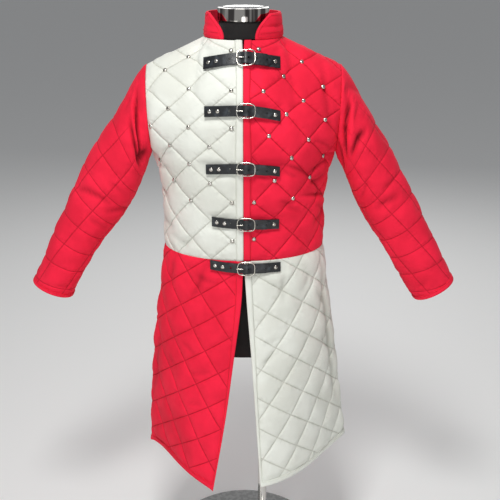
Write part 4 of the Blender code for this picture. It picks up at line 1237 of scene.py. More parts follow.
@dataclass
class ClothPiece:
    """Flat cloth cut to a pattern, padded, bent onto its form and given its thickness."""

    name: str
    surface: Surface
    lattice: QuiltLines
    padding: Padding
    finish: QuiltedCotton
    mirrored: bool = False
    steps: int = 16
    wall: float = WALL
    seed: float = 0.0
    folds: tuple[Fold, ...] = ()
    crumple: float = 0.0010
    crumple_pitch: float = 0.055
    fine_share: float = 0.45
    fine_pitch: float = 0.021
    calm_rim: float = 0.020
    seam_pucker: float = 0.0015
    seam_pucker_pitch: float = 0.013
    seam_reach: float = 0.022
    seam_start: float = 0.006
    full_shade_depth: float = 0.0100
    crowd: float = 0.5
    same_place: float = 2e-5
    rounding: float = 0.3
    closed: bool = False
    seam: float = 0.0
    round_rims: tuple[Rim, ...] = ()
    trim: Callable[[Array, Array], Array] | None = None

    def pattern(self) -> bmesh.types.BMesh:
        """A flat grid that runs along the stitch lines, cut to the panel's rectangle.

        Returns:
            The flat mesh in metres.
        """
        width, height = self.surface.width, self.surface.height
        span = np.array(self.lattice.span(width, height))
        count = span[:, 1] - span[:, 0]
        mesh = bmesh.new()
        bmesh.ops.create_grid(
            mesh, x_segments=int(count[0]) * self.steps, y_segments=int(count[1]) * self.steps, size=1.0
        )
        square = np.array([vert.co[:2] for vert in mesh.verts])
        cells = span[:, 0] + (square + 1) / 2 * count
        cells = cells - self.crowd * np.sin(2 * math.pi * cells) / (2 * math.pi)
        for vert, s, t in zip(mesh.verts, *self.lattice.place(cells[:, 0], cells[:, 1])):
            vert.co = (s, t, 0.0)
        cuts = (
            ((0, 0, 0), (-1, 0, 0)),
            ((width, 0, 0), (1, 0, 0)),
            ((0, 0, 0), (0, -1, 0)),
            ((0, height, 0), (0, 1, 0)),
        )
        for place, away in cuts:
            cut(mesh, place, away, drop=True)
        return mesh

    def mark(self, mesh: bmesh.types.BMesh) -> None:
        """Writes each place's flat and quilting coordinates into the mesh's two maps."""
        flat, quilt = mesh.loops.layers.uv.new("flat"), mesh.loops.layers.uv.new("quilt")
        mesh.verts.index_update()
        s, t = np.array([vert.co[:2] for vert in mesh.verts]).T
        a, b = self.lattice.cells(s, t)
        for face in mesh.faces:
            for loop in face.loops:
                k = loop.vert.index
                loop[flat].uv = (s[k], t[k])
                loop[quilt].uv = (a[k], b[k])
        # The deep layer is painted shade: how far down a fold's trough each place lies.
        tight, deep = mesh.verts.layers.float.new("tight"), mesh.verts.layers.float.new("deep")
        trough = -sum((fold.lift(s, t, self.surface) for fold in self.folds), np.zeros(len(s)))
        painted_shade = np.clip(trough / self.full_shade_depth, 0, 1) ** 1.5
        for vert, share, shaded in zip(mesh.verts, self.padding.tightness(t), painted_shade):
            vert[tight], vert[deep] = share, shaded

    def shape(self, s: Array, t: Array, inner: Array) -> Array:
        """Bends flat places onto the form.

        Args:
            s: Flat places across.
            t: Flat places along.
            inner: 1 for the wall's inner face and 0 for its outer one.

        Returns:
            Points in space.
        """
        surface = self.surface
        u, v = surface.shares(s, t)
        u = self.seam + (1 - 2 * self.seam) * u
        points, normals = surface.points(u, v), surface.normals(u, v)
        rim = np.minimum(t, surface.height - t)
        if not self.closed:
            rim = np.minimum(rim, np.minimum(s, surface.width - s))
        calm = np.clip(rim / self.calm_rim, 0, 1)
        lift = np.zeros(len(s))
        for fold in self.folds:
            lift = lift + fold.lift(s, t, surface) * calm
        outer = self.padding.puff(s, t, surface, self.lattice)
        near = np.exp(-rim / self.seam_reach) * np.clip(rim / self.seam_start, 0, 1)
        puckers = soft_noise(points, self.seam_pucker_pitch, self.seed + 7)
        outer = outer + near * self.seam_pucker * puckers
        outer = outer + calm * self.crumple * soft_noise(points, self.crumple_pitch, self.seed)
        fine = soft_noise(points, self.fine_pitch, self.seed + 3)
        outer = outer + calm * self.crumple * self.fine_share * fine
        lift = lift + np.where(inner > 0.5, -self.wall, outer)
        points = points + normals * lift[:, None]
        return self.trim(points, inner) if self.trim else points

    def build(self) -> bpy.types.Object:
        """Makes the piece.

        Returns:
            The finished object.
        """
        mesh = self.pattern()
        self.mark(mesh)
        layers = mesh.verts.layers.float
        flat_s, flat_t, inside = layers.new("flat_s"), layers.new("flat_t"), layers.new("inside")
        for vert in mesh.verts:
            vert[flat_s], vert[flat_t] = vert.co.x, vert.co.y
        for vert in thicken(mesh):
            vert[inside] = 1.0
        columns = [np.array([vert[layer] for vert in mesh.verts]) for layer in (flat_s, flat_t, inside)]
        points = self.shape(*columns)
        if self.mirrored:
            points[:, 0] = -points[:, 0]
        for vert, point in zip(mesh.verts, points):
            vert.co = point
        if self.closed:
            self.weld(mesh, flat_s)
        bmesh.ops.recalc_face_normals(mesh, faces=mesh.faces)
        self.round_off(mesh, flat_s, flat_t, inside)
        return make_object(self.name, mesh, finished(self.finish))

    def weld(self, mesh: bmesh.types.BMesh, flat_s: object) -> None:
        """Joins the two long rims of a closed piece.

        Args:
            mesh: The wall.
            flat_s: The layer that holds each place across.
        """
        width = self.surface.width
        for rim in (0.0, width):
            walls = [
                face
                for face in mesh.faces
                if all(abs(vert[flat_s] - rim) < self.same_place for vert in face.verts)
            ]
            bmesh.ops.delete(mesh, geom=walls, context="FACES_ONLY")
        bmesh.ops.remove_doubles(mesh, verts=mesh.verts, dist=5e-5)

    def round_off(
        self, mesh: bmesh.types.BMesh, flat_s: object, flat_t: object, inside: object
    ) -> None:
        """Rounds the wall's rims where they show.

        Args:
            mesh: The wall.
            flat_s: The layer that holds each place across.
            flat_t: The layer that holds each place along.
            inside: The layer that tells the inner face.
        """
        tests = {
            Rim.LOW_S: (flat_s, 0.0),
            Rim.HIGH_S: (flat_s, self.surface.width),
            Rim.LOW_T: (flat_t, 0.0),
            Rim.HIGH_T: (flat_t, self.surface.height),
        }
        for rim in self.round_rims:
            layer, place = tests[rim]
            edges = [
                edge
                for edge in mesh.edges
                if all(abs(vert[layer] - place) < self.same_place for vert in edge.verts)
                and abs(edge.verts[0][inside] - edge.verts[1][inside]) < 0.5
            ]
            bevel(mesh, edges, self.wall * self.rounding)


@dataclass
class TrunkTrim:
    """Keeps a trunk panel on its own side of the seams it shares with its neighbours."""

    front: bool
    above_waist: bool

    def __call__(self, points: Array, inner: Array) -> Array:
        """Draws points back to the seams.

        Args:
            points: Points of the wall.
            inner: 1 for the wall's inner face; not used.

        Returns:
            The points, none across a seam.
        """
        half = SEAM_GAP / 2
        if self.front:
            points[:, 1] = np.minimum(points[:, 1], -half)
        else:
            points[:, 1] = np.maximum(points[:, 1], half)
        points[:, 0] = np.maximum(points[:, 0], SEAM_GAP)
        if self.above_waist:
            points[:, 2] = np.maximum(points[:, 2], WAIST_Z + half)
        else:
            points[:, 2] = np.minimum(points[:, 2], WAIST_Z - half)
        return points


@dataclass(frozen=True)
class Closure:
    """One strap-and-buckle closure: its height and how far its leather reaches and drops."""

    height: float
    billet_end: float
    billet_drop: float
    base_drop: float
    tip: float = 0.0695
    base_end: float = 0.088

    def middle(self, x: Array) -> Array:
        """The height of the leather's middle line: it drops towards its ends."""
        left = self.height - self.billet_drop * np.abs(x / self.billet_end) ** DROP_POWER
        right = self.height - self.base_drop * np.abs(x / self.base_end) ** DROP_POWER
        return np.where(x < 0, left, right)


CLOSURES = (
    Closure(1.441, 0.095, 0.0165, 0.0135),
    Closure(1.327, 0.092, 0.005, 0.0145),
    Closure(1.190, 0.090, 0.005, 0.0105),
    Closure(1.047, 0.078, -0.004, 0.004),
    Closure(0.930, 0.084, -0.006, 0.001, base_end=0.093),
)


@dataclass
class CoatFront:
    """Finds places on the coat's front by their distance from the centre and their height."""

    bodice: BodiceForm = field(default_factory=lambda: BodiceForm(*BODICE_SIZE))
    skirt: SkirtForm = field(default_factory=lambda: SkirtForm(*SKIRT_SIZE, WHITE_FRONT_SKIRT))

    def share_up(self, height: Array) -> Array:
        """The bodice's share at which its centre edge has this height."""
        shares = np.linspace(0, 1, 400)
        heights = Profile(BODICE_COLUMNS, BODICE_FRONT).at(shares)["centre_z"]
        return np.interp(height, heights, shares)

    def find(self, x: Array, height: Array) -> tuple[Array, Array]:
        """Places on the front.

        Args:
            x: Distances from the centre, below zero on the wearer's right.
            height: Heights above the floor.

        Returns:
            Points and outward normals.
        """
        x, height = np.broadcast_arrays(np.atleast_1d(x), np.atleast_1d(height))
        above = height > WAIST_Z
        hem = WHITE_FRONT_SKIRT[-1][3]
        results = []
        for form, v in (
            (self.bodice, self.share_up(height)),
            (self.skirt, np.clip((WAIST_Z - height) / (WAIST_Z - hem), 0, 1)),
        ):
            u = np.clip(np.abs(x) / form.width, 0, 1)
            for _ in range(12):
                u = np.clip(u + (np.abs(x) - form.points(u, v)[:, 0]) / form.width, 0, 1)
            results.append((form.points(u, v), form.normals(np.maximum(u, 0.004), v)))
        points, normals = (
            np.where(above[:, None], results[0][k], results[1][k]) for k in (0, 1)
        )
        points[:, 0], normals[:, 0] = x, np.where(x < 0, -normals[:, 0], normals[:, 0])
        return points, normals

    def on(self, x: Array, height: Array, lift: Array | float) -> Array:
        """Points above the front, at exactly this x and height before they are lifted."""
        x, height = np.broadcast_arrays(np.atleast_1d(x).astype(float), np.atleast_1d(height))
        points, normals = self.find(x, height)
        normals = unit(xyz(0 * x, normals[:, 1], normals[:, 2]))
        return xyz(x, points[:, 1], height) + normals * np.atleast_1d(lift)[:, None]

    def lean(self, x: Array, height: Array) -> Array:
        """How far the front slopes in y for each metre up."""
        step = 0.010
        low, high = self.find(x, height - step)[0], self.find(x, height + step)[0]
        return (high[:, 1] - low[:, 1]) / (2 * step)


@dataclass
class Trunk:
    """The bodice, the skirts and their bindings."""

    strap_spare: float = 0.003
    front: CoatFront = field(default_factory=CoatFront)

    def presses(self, side: Side) -> tuple[tuple[float, float, float, float], ...]:
        """The flat rectangles of the bodice front that the straps press down."""
        strips = []
        for closure in CLOSURES[:4]:
            middle = float(self.front.share_up(closure.height)) * BODICE_SIZE[1]
            reach = STRAP_WIDTH / 2 + self.strap_spare
            right = side is Side.RIGHT
            drop = closure.billet_drop if right else closure.base_drop
            far = closure.billet_end if right else closure.base_end
            low, high = min(0.0, -0.7 * drop), max(0.0, -drop)
            strips.append((0.0, far + self.strap_spare, middle - reach + low, middle + reach + high))
        return tuple(strips)

    def build(self) -> None:
        """Makes every panel and binding of the trunk."""
        for side in Side:
            for front in (True, False):
                self.bodice(side, front)
                self.skirt(side, front)

    def bodice(self, side: Side, front: bool) -> None:
        """One quarter of the bodice, with its binding where it opens.

        Args:
            side: The wearer's side.
            front: Whether it is the front.
        """
        surface = BodiceForm(*BODICE_SIZE, BODICE_FRONT if front else BODICE_BACK, front)
        right = side is Side.RIGHT
        dye = WHITE if right else RED
        place = f"{'front' if front else 'back'}_{side.value}"
        trim = TrunkTrim(front, True)
        rims = (STITCH_ROW if front else 0.003, 0.004, 0.004, 0.003)
        panel = ClothPiece(
            name=f"bodice_{place}_quilted",
            surface=surface,
            lattice=DrawnLines(surface, STUD_ROWS[side]),
            padding=Padding(rims=rims, presses=self.presses(side) if front else ()),
            finish=dye.quilted,
            mirrored=side.mirrored,
            seed=3.1 if right else 11.7,
            folds=(BODICE_FOLDS if front else BACK_FOLDS)[side],
            crumple=0.0010 if right else 0.0018,
            round_rims=(Rim.LOW_S, Rim.HIGH_T) if front else (Rim.HIGH_T,),
            trim=trim,
        ).build()
        declare(panel, [f"bodice_{place}"])
        if front:
            band = Binding(f"front_binding_{side.value}_folded", surface, dye.plain, side.mirrored)
            strip = band.edge(trim).build()
            declare(strip, [f"front_binding_{side.value}"])

    def skirt(self, side: Side, front: bool) -> None:
        """One skirt panel with its edge-and-hem binding.

        Args:
            side: The wearer's side.
            front: Whether it is the front.
        """
        right = side is Side.RIGHT
        dye = RED if right else WHITE
        surface = SkirtForm(*SKIRT_SIZE, SKIRT_ROWS[side, front])
        place = f"{'front' if front else 'back'}_{side.value}"
        trim = TrunkTrim(front, False)
        far = CLOSURES[4].billet_end if right else CLOSURES[4].base_end
        presses = ((0.0, far + self.strap_spare, 0.0, 0.036),) if front else ()
        panel = ClothPiece(
            name=f"skirt_{place}_quilted",
            surface=surface,
            lattice=DrawnLines(surface, SKIRT_LINES[side]),
            padding=Padding(
                lift=0.0068, fullness=0.46, rims=(STITCH_ROW, 0.003, 0.004, STITCH_ROW), presses=presses
            ),
            finish=dye.quilted,
            mirrored=side.mirrored,
            seed=23.3 if right else 31.9,
            folds=(SKIRT_FOLDS if front else SKIRT_BACK_FOLDS)[side],
            crumple=0.0014,
            round_rims=(Rim.LOW_S, Rim.HIGH_T),
            trim=trim,
        ).build()
        declare(panel, [f"skirt_{place}"])
        band = Binding(f"skirt_binding_{place}_folded", surface, dye.plain, side.mirrored)
        strip = band.edge_and_hem(trim).build()
        declare(strip, [f"skirt_binding_{place}"])


@dataclass
class Band(ClothPiece):
    """A narrow strip of folded cloth along some rims of a panel, a little crowned."""

    reach: Callable[[Array, Array], Array] | None = None
    low: float = 0.0005
    crown: float = 0.0023
    grid_pitch: float = 0.006
    cut_shares: tuple[float, ...] = (0.12, 0.30, 0.70, 1.0)
    crown_power: float = 6.0
    wobble: float = 0.00035
    wobble_pitch: float = 0.012
    least: float = 0.0004

    def pattern(self) -> bmesh.types.BMesh:
        """A fine flat grid, cut to the strip.

        Returns:
            The flat mesh in metres.
        """
        width, height = self.surface.width, self.surface.height
        mesh = bmesh.new()
        columns, rows = round(width / self.grid_pitch), round(height / self.grid_pitch)
        bmesh.ops.create_grid(mesh, x_segments=columns, y_segments=rows, size=1.0)
        for vert in mesh.verts:
            vert.co = ((vert.co.x + 1) / 2 * width, (vert.co.y + 1) / 2 * height, 0.0)
        for share in self.cut_shares:
            inset = share * BINDING_WIDTH
            cut(mesh, (inset, 0, 0), (1, 0, 0))
            cut(mesh, (0, height - inset, 0), (0, 1, 0))
        outside = []
        for face in mesh.faces:
            centre = face.calc_center_median()
            if self.reach(centre.x, centre.y) > BINDING_WIDTH:
                outside.append(face)
        bmesh.ops.delete(mesh, geom=outside, context="FACES")
        return mesh

    def shape(self, s: Array, t: Array, inner: Array) -> Array:
        """Bends flat places onto the form, with the strip's crown over its outer face."""
        surface = self.surface
        u, v = surface.shares(s, t)
        points, normals = surface.points(u, v), surface.normals(u, v)
        share = np.clip(np.array([self.reach(a, b) for a, b in zip(s, t)]) / BINDING_WIDTH, 0, 1)
        crown = self.low + self.crown * (1 - (2 * share - 1) ** self.crown_power)
        wobble = self.wobble * soft_noise(points, self.wobble_pitch, self.seed)
        crown = crown + wobble * np.sin(math.pi * share)
        lift = np.where(inner > 0.5, self.low, np.maximum(crown, self.low + self.least))
        points = points + normals * lift[:, None]
        return self.trim(points, inner) if self.trim else points


@dataclass
class Binding:
    """Makes the folded strips that bind a panel's open rims."""

    name: str
    surface: Surface
    finish: QuiltedCotton
    mirrored: bool

    def strip(self, reach: Callable, trim: Callable | None, closed: bool = False) -> Band:
        """A strip over every place whose reach from the rim is less than the binding's width."""
        return Band(
            name=self.name,
            surface=self.surface,
            lattice=Lattice((0.0, 0.0), (0.05, 0.0), (0.0, 0.05)),
            padding=Padding(),
            finish=self.finish,
            mirrored=self.mirrored,
            closed=closed,
            trim=trim,
            reach=reach,
            seed=5.5,
        )

    def edge(self, trim: Callable) -> Band:
        """The binding of an open edge."""
        return self.strip(lambda s, t: s, trim)

    def edge_and_hem(self, trim: Callable) -> Band:
        """The binding of an open edge and of the hem under it."""
        height = self.surface.height
        return self.strip(lambda s, t: min(s, height - t), trim)

    def cuff(self) -> Band:
        """The binding of a cuff, once round."""
        height = self.surface.height
        return self.strip(lambda s, t: height - t, None, closed=True)


class Sleeves:
    """Both sleeves and their cuff bands."""

    def build(self) -> None:
        """Makes the sleeves."""
        for side in Side:
            surface = SleeveForm(*SLEEVE_SIZE, SLEEVE_ROWS[side])
            sleeve = ClothPiece(
                name=f"sleeve_{side.value}_quilted",
                surface=surface,
                lattice=DrawnLines(surface, SLEEVE_LINES[side]),
                padding=Padding(
                    lift=0.0034, rims=(0.002, 0.002, 0.004, STITCH_ROW), slack=(0.060, 0.150)
                ),
                finish=RED.quilted,
                mirrored=side.mirrored,
                steps=14,
                seed=41.3 if side is Side.RIGHT else 53.9,
                folds=SLEEVE_FOLDS[side],
                crumple=0.0020,
                seam=0.0004,
                round_rims=(Rim.HIGH_T,),
            ).build()
            declare(sleeve, [f"sleeve_{side.value}"])
            band = Binding(f"cuff_band_{side.value}_folded", surface, RED.plain, side.mirrored)
            cuff = declare(band.cuff().build(), [f"cuff_band_{side.value}"])


STUD_ROWS: dict[Side, StudRows] = {
    Side.RIGHT: StudRows(
        first=-0.0255,
        pitch=0.0535,
        rows=((1.001, -1), (1.102, 1), (1.197, 3), (1.286, 5), (1.372, 7), (1.458, 9)),
        sag=0.012,
        spread=2.6,
        fan=4.3,
        fan_from=1.405,
        fan_middle=0.028,
        fan_limits=(0.0, 0.28),
        last_stud_line=1,
    ),
    Side.LEFT: StudRows(
        first=0.026,
        pitch=0.050,
        rows=(
            (1.010, 0),
            (1.061, 1),
            (1.104, 2),
            (1.155, 3),
            (1.212, 4),
            (1.260, 5),
            (1.316, 6),
            (1.355, 7),
            (1.399, 8),
            (1.443, 9),
            (1.477, 10),
        ),
        lean=0.14,
        fan=1.2,
    ),
}
# Level distance round from the open edge, and height
SKIRT_LINES: dict[Side, Lattice] = {
    Side.RIGHT: Lattice((0.150, 0.907), (-0.0435, -0.0538), (0.0595, -0.042)),
    Side.LEFT: Lattice((0.213, 0.780), (-0.0435, -0.0538), (0.0595, -0.042)),
}
# Distance round from the sleeve's front middle, and length down its middle line
SLEEVE_LINES: dict[Side, Lattice] = {
    Side.RIGHT: Lattice((0.054, 0.180), (0.012, 0.062), (-0.080, -0.009)),
    Side.LEFT: Lattice((-0.034, 0.169), (0.015, 0.064), (-0.073, -0.016)),
}
BODICE_FOLDS: dict[Side, tuple[Fold, ...]] = {
    Side.RIGHT: (
        Fold((0.97, 0.16), (0.62, 0.12), 0.009, 0.0048, 0.04),
        Fold((0.72, 0.085), (0.47, 0.045), 0.008, 0.0036, -0.05),
        Fold((0.95, 0.47), (0.62, 0.45), 0.009, 0.0036, 0.05),
        Fold((0.96, 0.33), (0.70, 0.26), 0.009, 0.0042, -0.05),
        Fold((0.60, 0.04), (0.38, 0.11), 0.008, 0.0031, 0.06),
        Fold((0.95, 0.56), (0.76, 0.47), 0.010, 0.0042, 0.05),
        Fold((0.30, 0.60), (0.26, 0.52), 0.008, 0.0020, 0.05),
    ),
    Side.LEFT: (
        Fold((0.25, 0.478), (0.56, 0.402), 0.007, 0.0067, 0.06),
        Fold((0.25, 0.455), (0.44, 0.412), 0.006, 0.0050, -0.05),
        Fold((0.58, 0.395), (0.76, 0.295), 0.007, 0.0059, 0.06),
        Fold((0.45, 0.315), (0.97, 0.262), 0.007, 0.0073, 0.03),
        Fold((0.28, 0.297), (0.43, 0.272), 0.006, 0.0048, -0.06),
        Fold((0.78, 0.492), (0.51, 0.418), 0.007, 0.0064, -0.05),
        Fold((0.26, 0.275), (0.51, 0.212), 0.008, 0.0048, 0.05),
        Fold((0.80, 0.432), (0.57, 0.368), 0.006, 0.0059, 0.05),
        Fold((0.60, 0.628), (0.85, 0.606), 0.008, 0.0045, 0.05),
        Fold((0.79, 0.94), (0.86, 0.68), 0.010, 0.0048, -0.03),
        Fold((0.97, 0.20), (0.62, 0.13), 0.009, 0.0050, -0.05),
        Fold((0.95, 0.53), (0.74, 0.55), 0.008, 0.0056, 0.05),
        Fold((0.66, 0.245), (0.90, 0.175), 0.007, 0.0045, 0.04),
    ),
}
BACK_FOLDS: dict[Side, tuple[Fold, ...]] = {
    Side.RIGHT: (
        Fold((0.96, 0.18), (0.58, 0.14), 0.009, 0.0047, 0.04),
        Fold((0.94, 0.44), (0.63, 0.40), 0.009, 0.0036, -0.05),
        Fold((0.95, 0.30), (0.72, 0.24), 0.008, 0.0039, 0.05),
        Fold((0.10, 0.12), (0.36, 0.07), 0.010, 0.0034, 0.05),
        Fold((0.92, 0.60), (0.66, 0.66), 0.010, 0.0039, -0.04),
    ),
    Side.LEFT: (
        Fold((0.97, 0.21), (0.55, 0.16), 0.009, 0.0055, -0.04),
        Fold((0.95, 0.35), (0.60, 0.29), 0.008, 0.0049, 0.05),
        Fold((0.93, 0.47), (0.64, 0.42), 0.009, 0.0044, 0.04),
        Fold((0.12, 0.08), (0.40, 0.13), 0.010, 0.0036, -0.05),
        Fold((0.90, 0.62), (0.62, 0.60), 0.010, 0.0039, 0.05),
    ),
}
SKIRT_FOLDS: dict[Side, tuple[Fold, ...]] = {
    Side.RIGHT: (
        Fold((0.30, 0.02), (0.44, 0.20), 0.009, 0.0052, 0.04),
        Fold((0.62, 0.02), (0.68, 0.17), 0.010, 0.0049, -0.05),
        Fold((0.16, 0.10), (0.40, 0.07), 0.008, 0.0038, 0.05),
        Fold((0.48, 0.37), (0.34, 0.42), 0.006, 0.0038, 0.06),
        Fold((0.62, 0.45), (0.52, 0.52), 0.006, 0.0032, -0.05),
        Fold((0.22, 0.46), (0.40, 0.50), 0.006, 0.0035, 0.05),
        Fold((0.28, 0.62), (0.42, 0.65), 0.006, 0.0032, -0.06),
        Fold((0.80, 0.30), (0.86, 0.74), 0.016, 0.0049, 0.02),
    ),
    Side.LEFT: (
        Fold((0.34, 0.02), (0.30, 0.20), 0.009, 0.0049, 0.04),
        Fold((0.58, 0.08), (0.46, 0.17), 0.008, 0.0043, -0.05),
        Fold((0.80, 0.02), (0.84, 0.80), 0.014, 0.0087, 0.02),
        Fold((0.90, 0.04), (0.94, 0.62), 0.010, 0.0058, -0.02),
        Fold((0.64, 0.17), (0.78, 0.26), 0.008, 0.0046, 0.05),
        Fold((0.12, 0.36), (0.26, 0.32), 0.006, 0.0032, 0.05),
        Fold((0.10, 0.43), (0.24, 0.39), 0.006, 0.0032, -0.05),
        Fold((0.66, 0.38), (0.76, 0.46), 0.007, 0.0038, 0.05),
        Fold((0.14, 0.66), (0.30, 0.70), 0.007, 0.0026, -0.05),
    ),
}
SKIRT_BACK_FOLDS: dict[Side, tuple[Fold, ...]] = {
    Side.RIGHT: (
        Fold((0.36, 0.02), (0.30, 0.24), 0.010, 0.0049, 0.04),
        Fold((0.70, 0.02), (0.74, 0.40), 0.012, 0.0052, -0.03),
        Fold((0.22, 0.44), (0.40, 0.40), 0.007, 0.0031, 0.05),
        Fold((0.86, 0.20), (0.90, 0.70), 0.014, 0.0052, 0.02),
    ),
    Side.LEFT: (
        Fold((0.28, 0.02), (0.34, 0.20), 0.009, 0.0044, -0.04),
        Fold((0.62, 0.03), (0.56, 0.34), 0.012, 0.0049, 0.03),
        Fold((0.84, 0.04), (0.80, 0.66), 0.014, 0.0062, -0.02),
        Fold((0.18, 0.56), (0.34, 0.60), 0.007, 0.0029, 0.05),
    ),
}
SLEEVE_FOLDS: dict[Side, tuple[Fold, ...]] = {
    Side.RIGHT: (
        Fold((0.40, 0.082), (0.10, 0.112), 0.0062, 0.0165, -0.03),
        Fold((0.38, 0.108), (0.16, 0.124), 0.0080, -0.0060, -0.02),
        Fold((0.33, 0.138), (0.10, 0.148), 0.0062, 0.0160, 0.05),
        Fold((0.16, 0.165), (0.10, 0.045), 0.0100, 0.0130, 0.04),
        Fold((0.42, 0.095), (0.38, 0.165), 0.0080, 0.0037, 0.05),
        Fold((0.42, 0.540), (0.17, 0.430), 0.0080, 0.0077, 0.05),
        Fold((0.05, 0.385), (0.19, 0.495), 0.0080, 0.0060, -0.05),
        Fold((0.10, 0.545), (0.28, 0.560), 0.0080, 0.0050, 0.05),
        Fold((0.12, 0.330), (0.26, 0.370), 0.0090, 0.0037, -0.05),
        Fold((0.12, 0.900), (0.24, 0.915), 0.0070, 0.0032, 0.05),
        Fold((0.62, 0.085), (0.88, 0.120), 0.0080, 0.0100, 0.03),
        Fold((0.70, 0.150), (0.90, 0.145), 0.0080, 0.0075, -0.04),
        Fold((0.60, 0.520), (0.84, 0.440), 0.0090, 0.0063, -0.05),
        Fold((0.72, 0.560), (0.92, 0.500), 0.0080, 0.0050, 0.05),
    ),
    Side.LEFT: (
        Fold((0.35, 0.094), (0.21, 0.076), 0.0058, 0.0165, 0.05),
        Fold((0.33, 0.045), (0.50, 0.155), 0.0080, 0.0052, -0.05),
        Fold((0.35, 0.200), (0.17, 0.140), 0.0062, 0.0150, 0.06),
        Fold((0.24, 0.070), (0.13, 0.112), 0.0070, 0.0140, 0.04),
        Fold((0.28, 0.120), (0.42, 0.140), 0.0080, 0.0045, 0.05),
        Fold((0.20, 0.108), (0.32, 0.124), 0.0080, -0.0045, 0.05),
        Fold((0.14, 0.020), (0.03, 0.140), 0.0090, 0.0088, -0.04),
        Fold((0.34, 0.538), (0.17, 0.462), 0.0080, 0.0070, 0.05),
        Fold((0.40, 0.475), (0.26, 0.430), 0.0080, 0.0050, -0.05),
        Fold((0.08, 0.350), (0.22, 0.320), 0.0090, 0.0040, 0.05),
        Fold((0.14, 0.915), (0.26, 0.895), 0.0070, 0.0032, 0.05),
        Fold((0.64, 0.092), (0.86, 0.110), 0.0080, 0.0100, -0.04),
        Fold((0.66, 0.170), (0.84, 0.145), 0.0080, 0.0075, 0.05),
        Fold((0.62, 0.500), (0.86, 0.450), 0.0090, 0.0060, 0.05),
        Fold((0.70, 0.575), (0.90, 0.520), 0.0080, 0.0047, -0.05),
    ),
}


@dataclass
class CollarPiece(ClothPiece):
    """The stand collar: two soft rows between topstitching, creased where it bends."""

    swell: float = 0.0016
    ripple: float = 0.0014
    ripple_pitch: float = 0.030
    crease: float = 0.0030
    crease_width: float = 0.07
    rim_rise: float = 0.006
    rim_calm: float = 0.008

    def shape(self, s: Array, t: Array, inner: Array) -> Array:
        """Bends flat places onto the collar's form."""
        surface = self.surface
        u, v = surface.shares(s, t)
        points = surface.points(u, v)
        normals = unit(xyz(points[:, 0], points[:, 1], 0 * u))
        rows = np.abs(np.sin(2 * math.pi * v)) ** 0.6
        puff = self.swell * np.sin(math.pi * v) + self.swell * rows
        rim = np.minimum(np.minimum(s, surface.width - s), np.minimum(t, surface.height - t))
        puff = puff * np.clip(rim / self.rim_rise, 0.25, 1) ** 0.5
        inside = np.clip(rim / self.rim_calm, 0, 1)
        puff = puff + self.ripple * soft_noise(points, self.ripple_pitch, 8.0) * inside
        left_bend, right_bend, level = 0.90, 0.08, 0.46
        bent = np.exp(-(((u - left_bend) / self.crease_width) ** 2))
        bent = bent + 0.5 * np.exp(-(((u - right_bend) / 0.06) ** 2))
        slant = v - level - 0.5 * (u - left_bend)
        puff = puff - self.crease * bent * np.exp(-((slant / self.crease_width) ** 2)) * inside
        lift = np.where(inner > 0.5, -self.wall, puff)
        return points + normals * lift[:, None]


class Collar:
    """The collar as a piece."""

    def build(self) -> None:
        """Makes the collar."""
        piece = CollarPiece(
            name="collar_stitched",
            surface=CollarForm(*COLLAR_SIZE),
            lattice=Lattice((0.0, 0.0), (0.0245, 0.0), (0.0, COLLAR_HEIGHT / 2)),
            padding=Padding(),
            finish=RED.plain,
            steps=6,
            wall=COLLAR_WALL,
            round_rims=(Rim.LOW_S, Rim.HIGH_S, Rim.HIGH_T),
        ).build()
        declare(piece, ["collar"])


def dome_head(mesh: bmesh.types.BMesh, place: Array, out: Array, radius: float, rise: float) -> None:
    """Adds a domed metal head to a mesh.

    Args:
        mesh: The mesh of all the heads.
        place: The middle of the head's underside.
        out: The way it faces.
        radius: Its radius.
        rise: Its height.
    """
    made = bmesh.ops.create_uvsphere(mesh, u_segments=14, v_segments=10, radius=1.0)["verts"]
    low = [vert for vert in made if vert.co.z < -0.01]
    bmesh.ops.delete(mesh, geom=low, context="VERTS")
    kept = [vert for vert in made if vert.is_valid]
    aim = Vector(out).to_track_quat("Z", "Y").to_matrix().to_4x4()
    matrix = Matrix.Translation(Vector(place)) @ aim @ Matrix.Diagonal((radius, radius, rise, 1.0))
    rim = [edge for edge in {e for vert in kept for e in vert.link_edges} if edge.is_boundary]
    bmesh.ops.edgeloop_fill(mesh, edges=rim)
    bmesh.ops.transform(mesh, matrix=matrix, verts=kept)


@dataclass
class Studs:
    """Domed nickel studs at the quilting crossings of the bodice."""

    trunk: Trunk
    radius: float = 0.0055
    rise: float = 0.0030
    seat: float = 0.0014
    binding_margin: float = 0.020
    rim_margin: float = 0.011

    def clear_of_straps(self, side: Side, s: float, t: float) -> bool:
        """Whether a crossing isn't hidden under a strap."""
        spare = self.radius * 0.2
        return not any(
            low_s - spare < s < high_s + spare and low_t - spare < t < high_t + spare
            for low_s, high_s, low_t, high_t in self.trunk.presses(side)
        )

    def build(self) -> None:
        """Makes the studs of each side, front and back."""
        for side in Side:
            for front in (True, False):
                rows = BODICE_FRONT if front else BODICE_BACK
                form = BodiceForm(*BODICE_SIZE, rows, front)
                plan = STUD_ROWS[side]
                places = DrawnLines(form, plan).crossings(
                    form.width, form.height, self.rim_margin, plan.last_stud_line
                )
                if front:
                    places = [p for p in places if self.clear_of_straps(side, *p)]
                    places = [p for p in places if p[0] > self.binding_margin]
                s, t = np.array(places).T
                u, v = s / form.width, t / form.height
                points, normals = form.points(u, v), form.normals(u, v)
                mesh = bmesh.new()
                for point, normal in zip(points + normals * self.seat, normals):
                    if side.mirrored:
                        point, normal = point * MIRROR, normal * MIRROR
                    dome_head(mesh, point, normal, self.radius, self.rise)
                bmesh.ops.recalc_face_normals(mesh, faces=mesh.faces)
                name = f"studs_{'front' if front else 'back'}_{side.value}"
                declare(make_object(name, mesh, finished(NICKEL)))


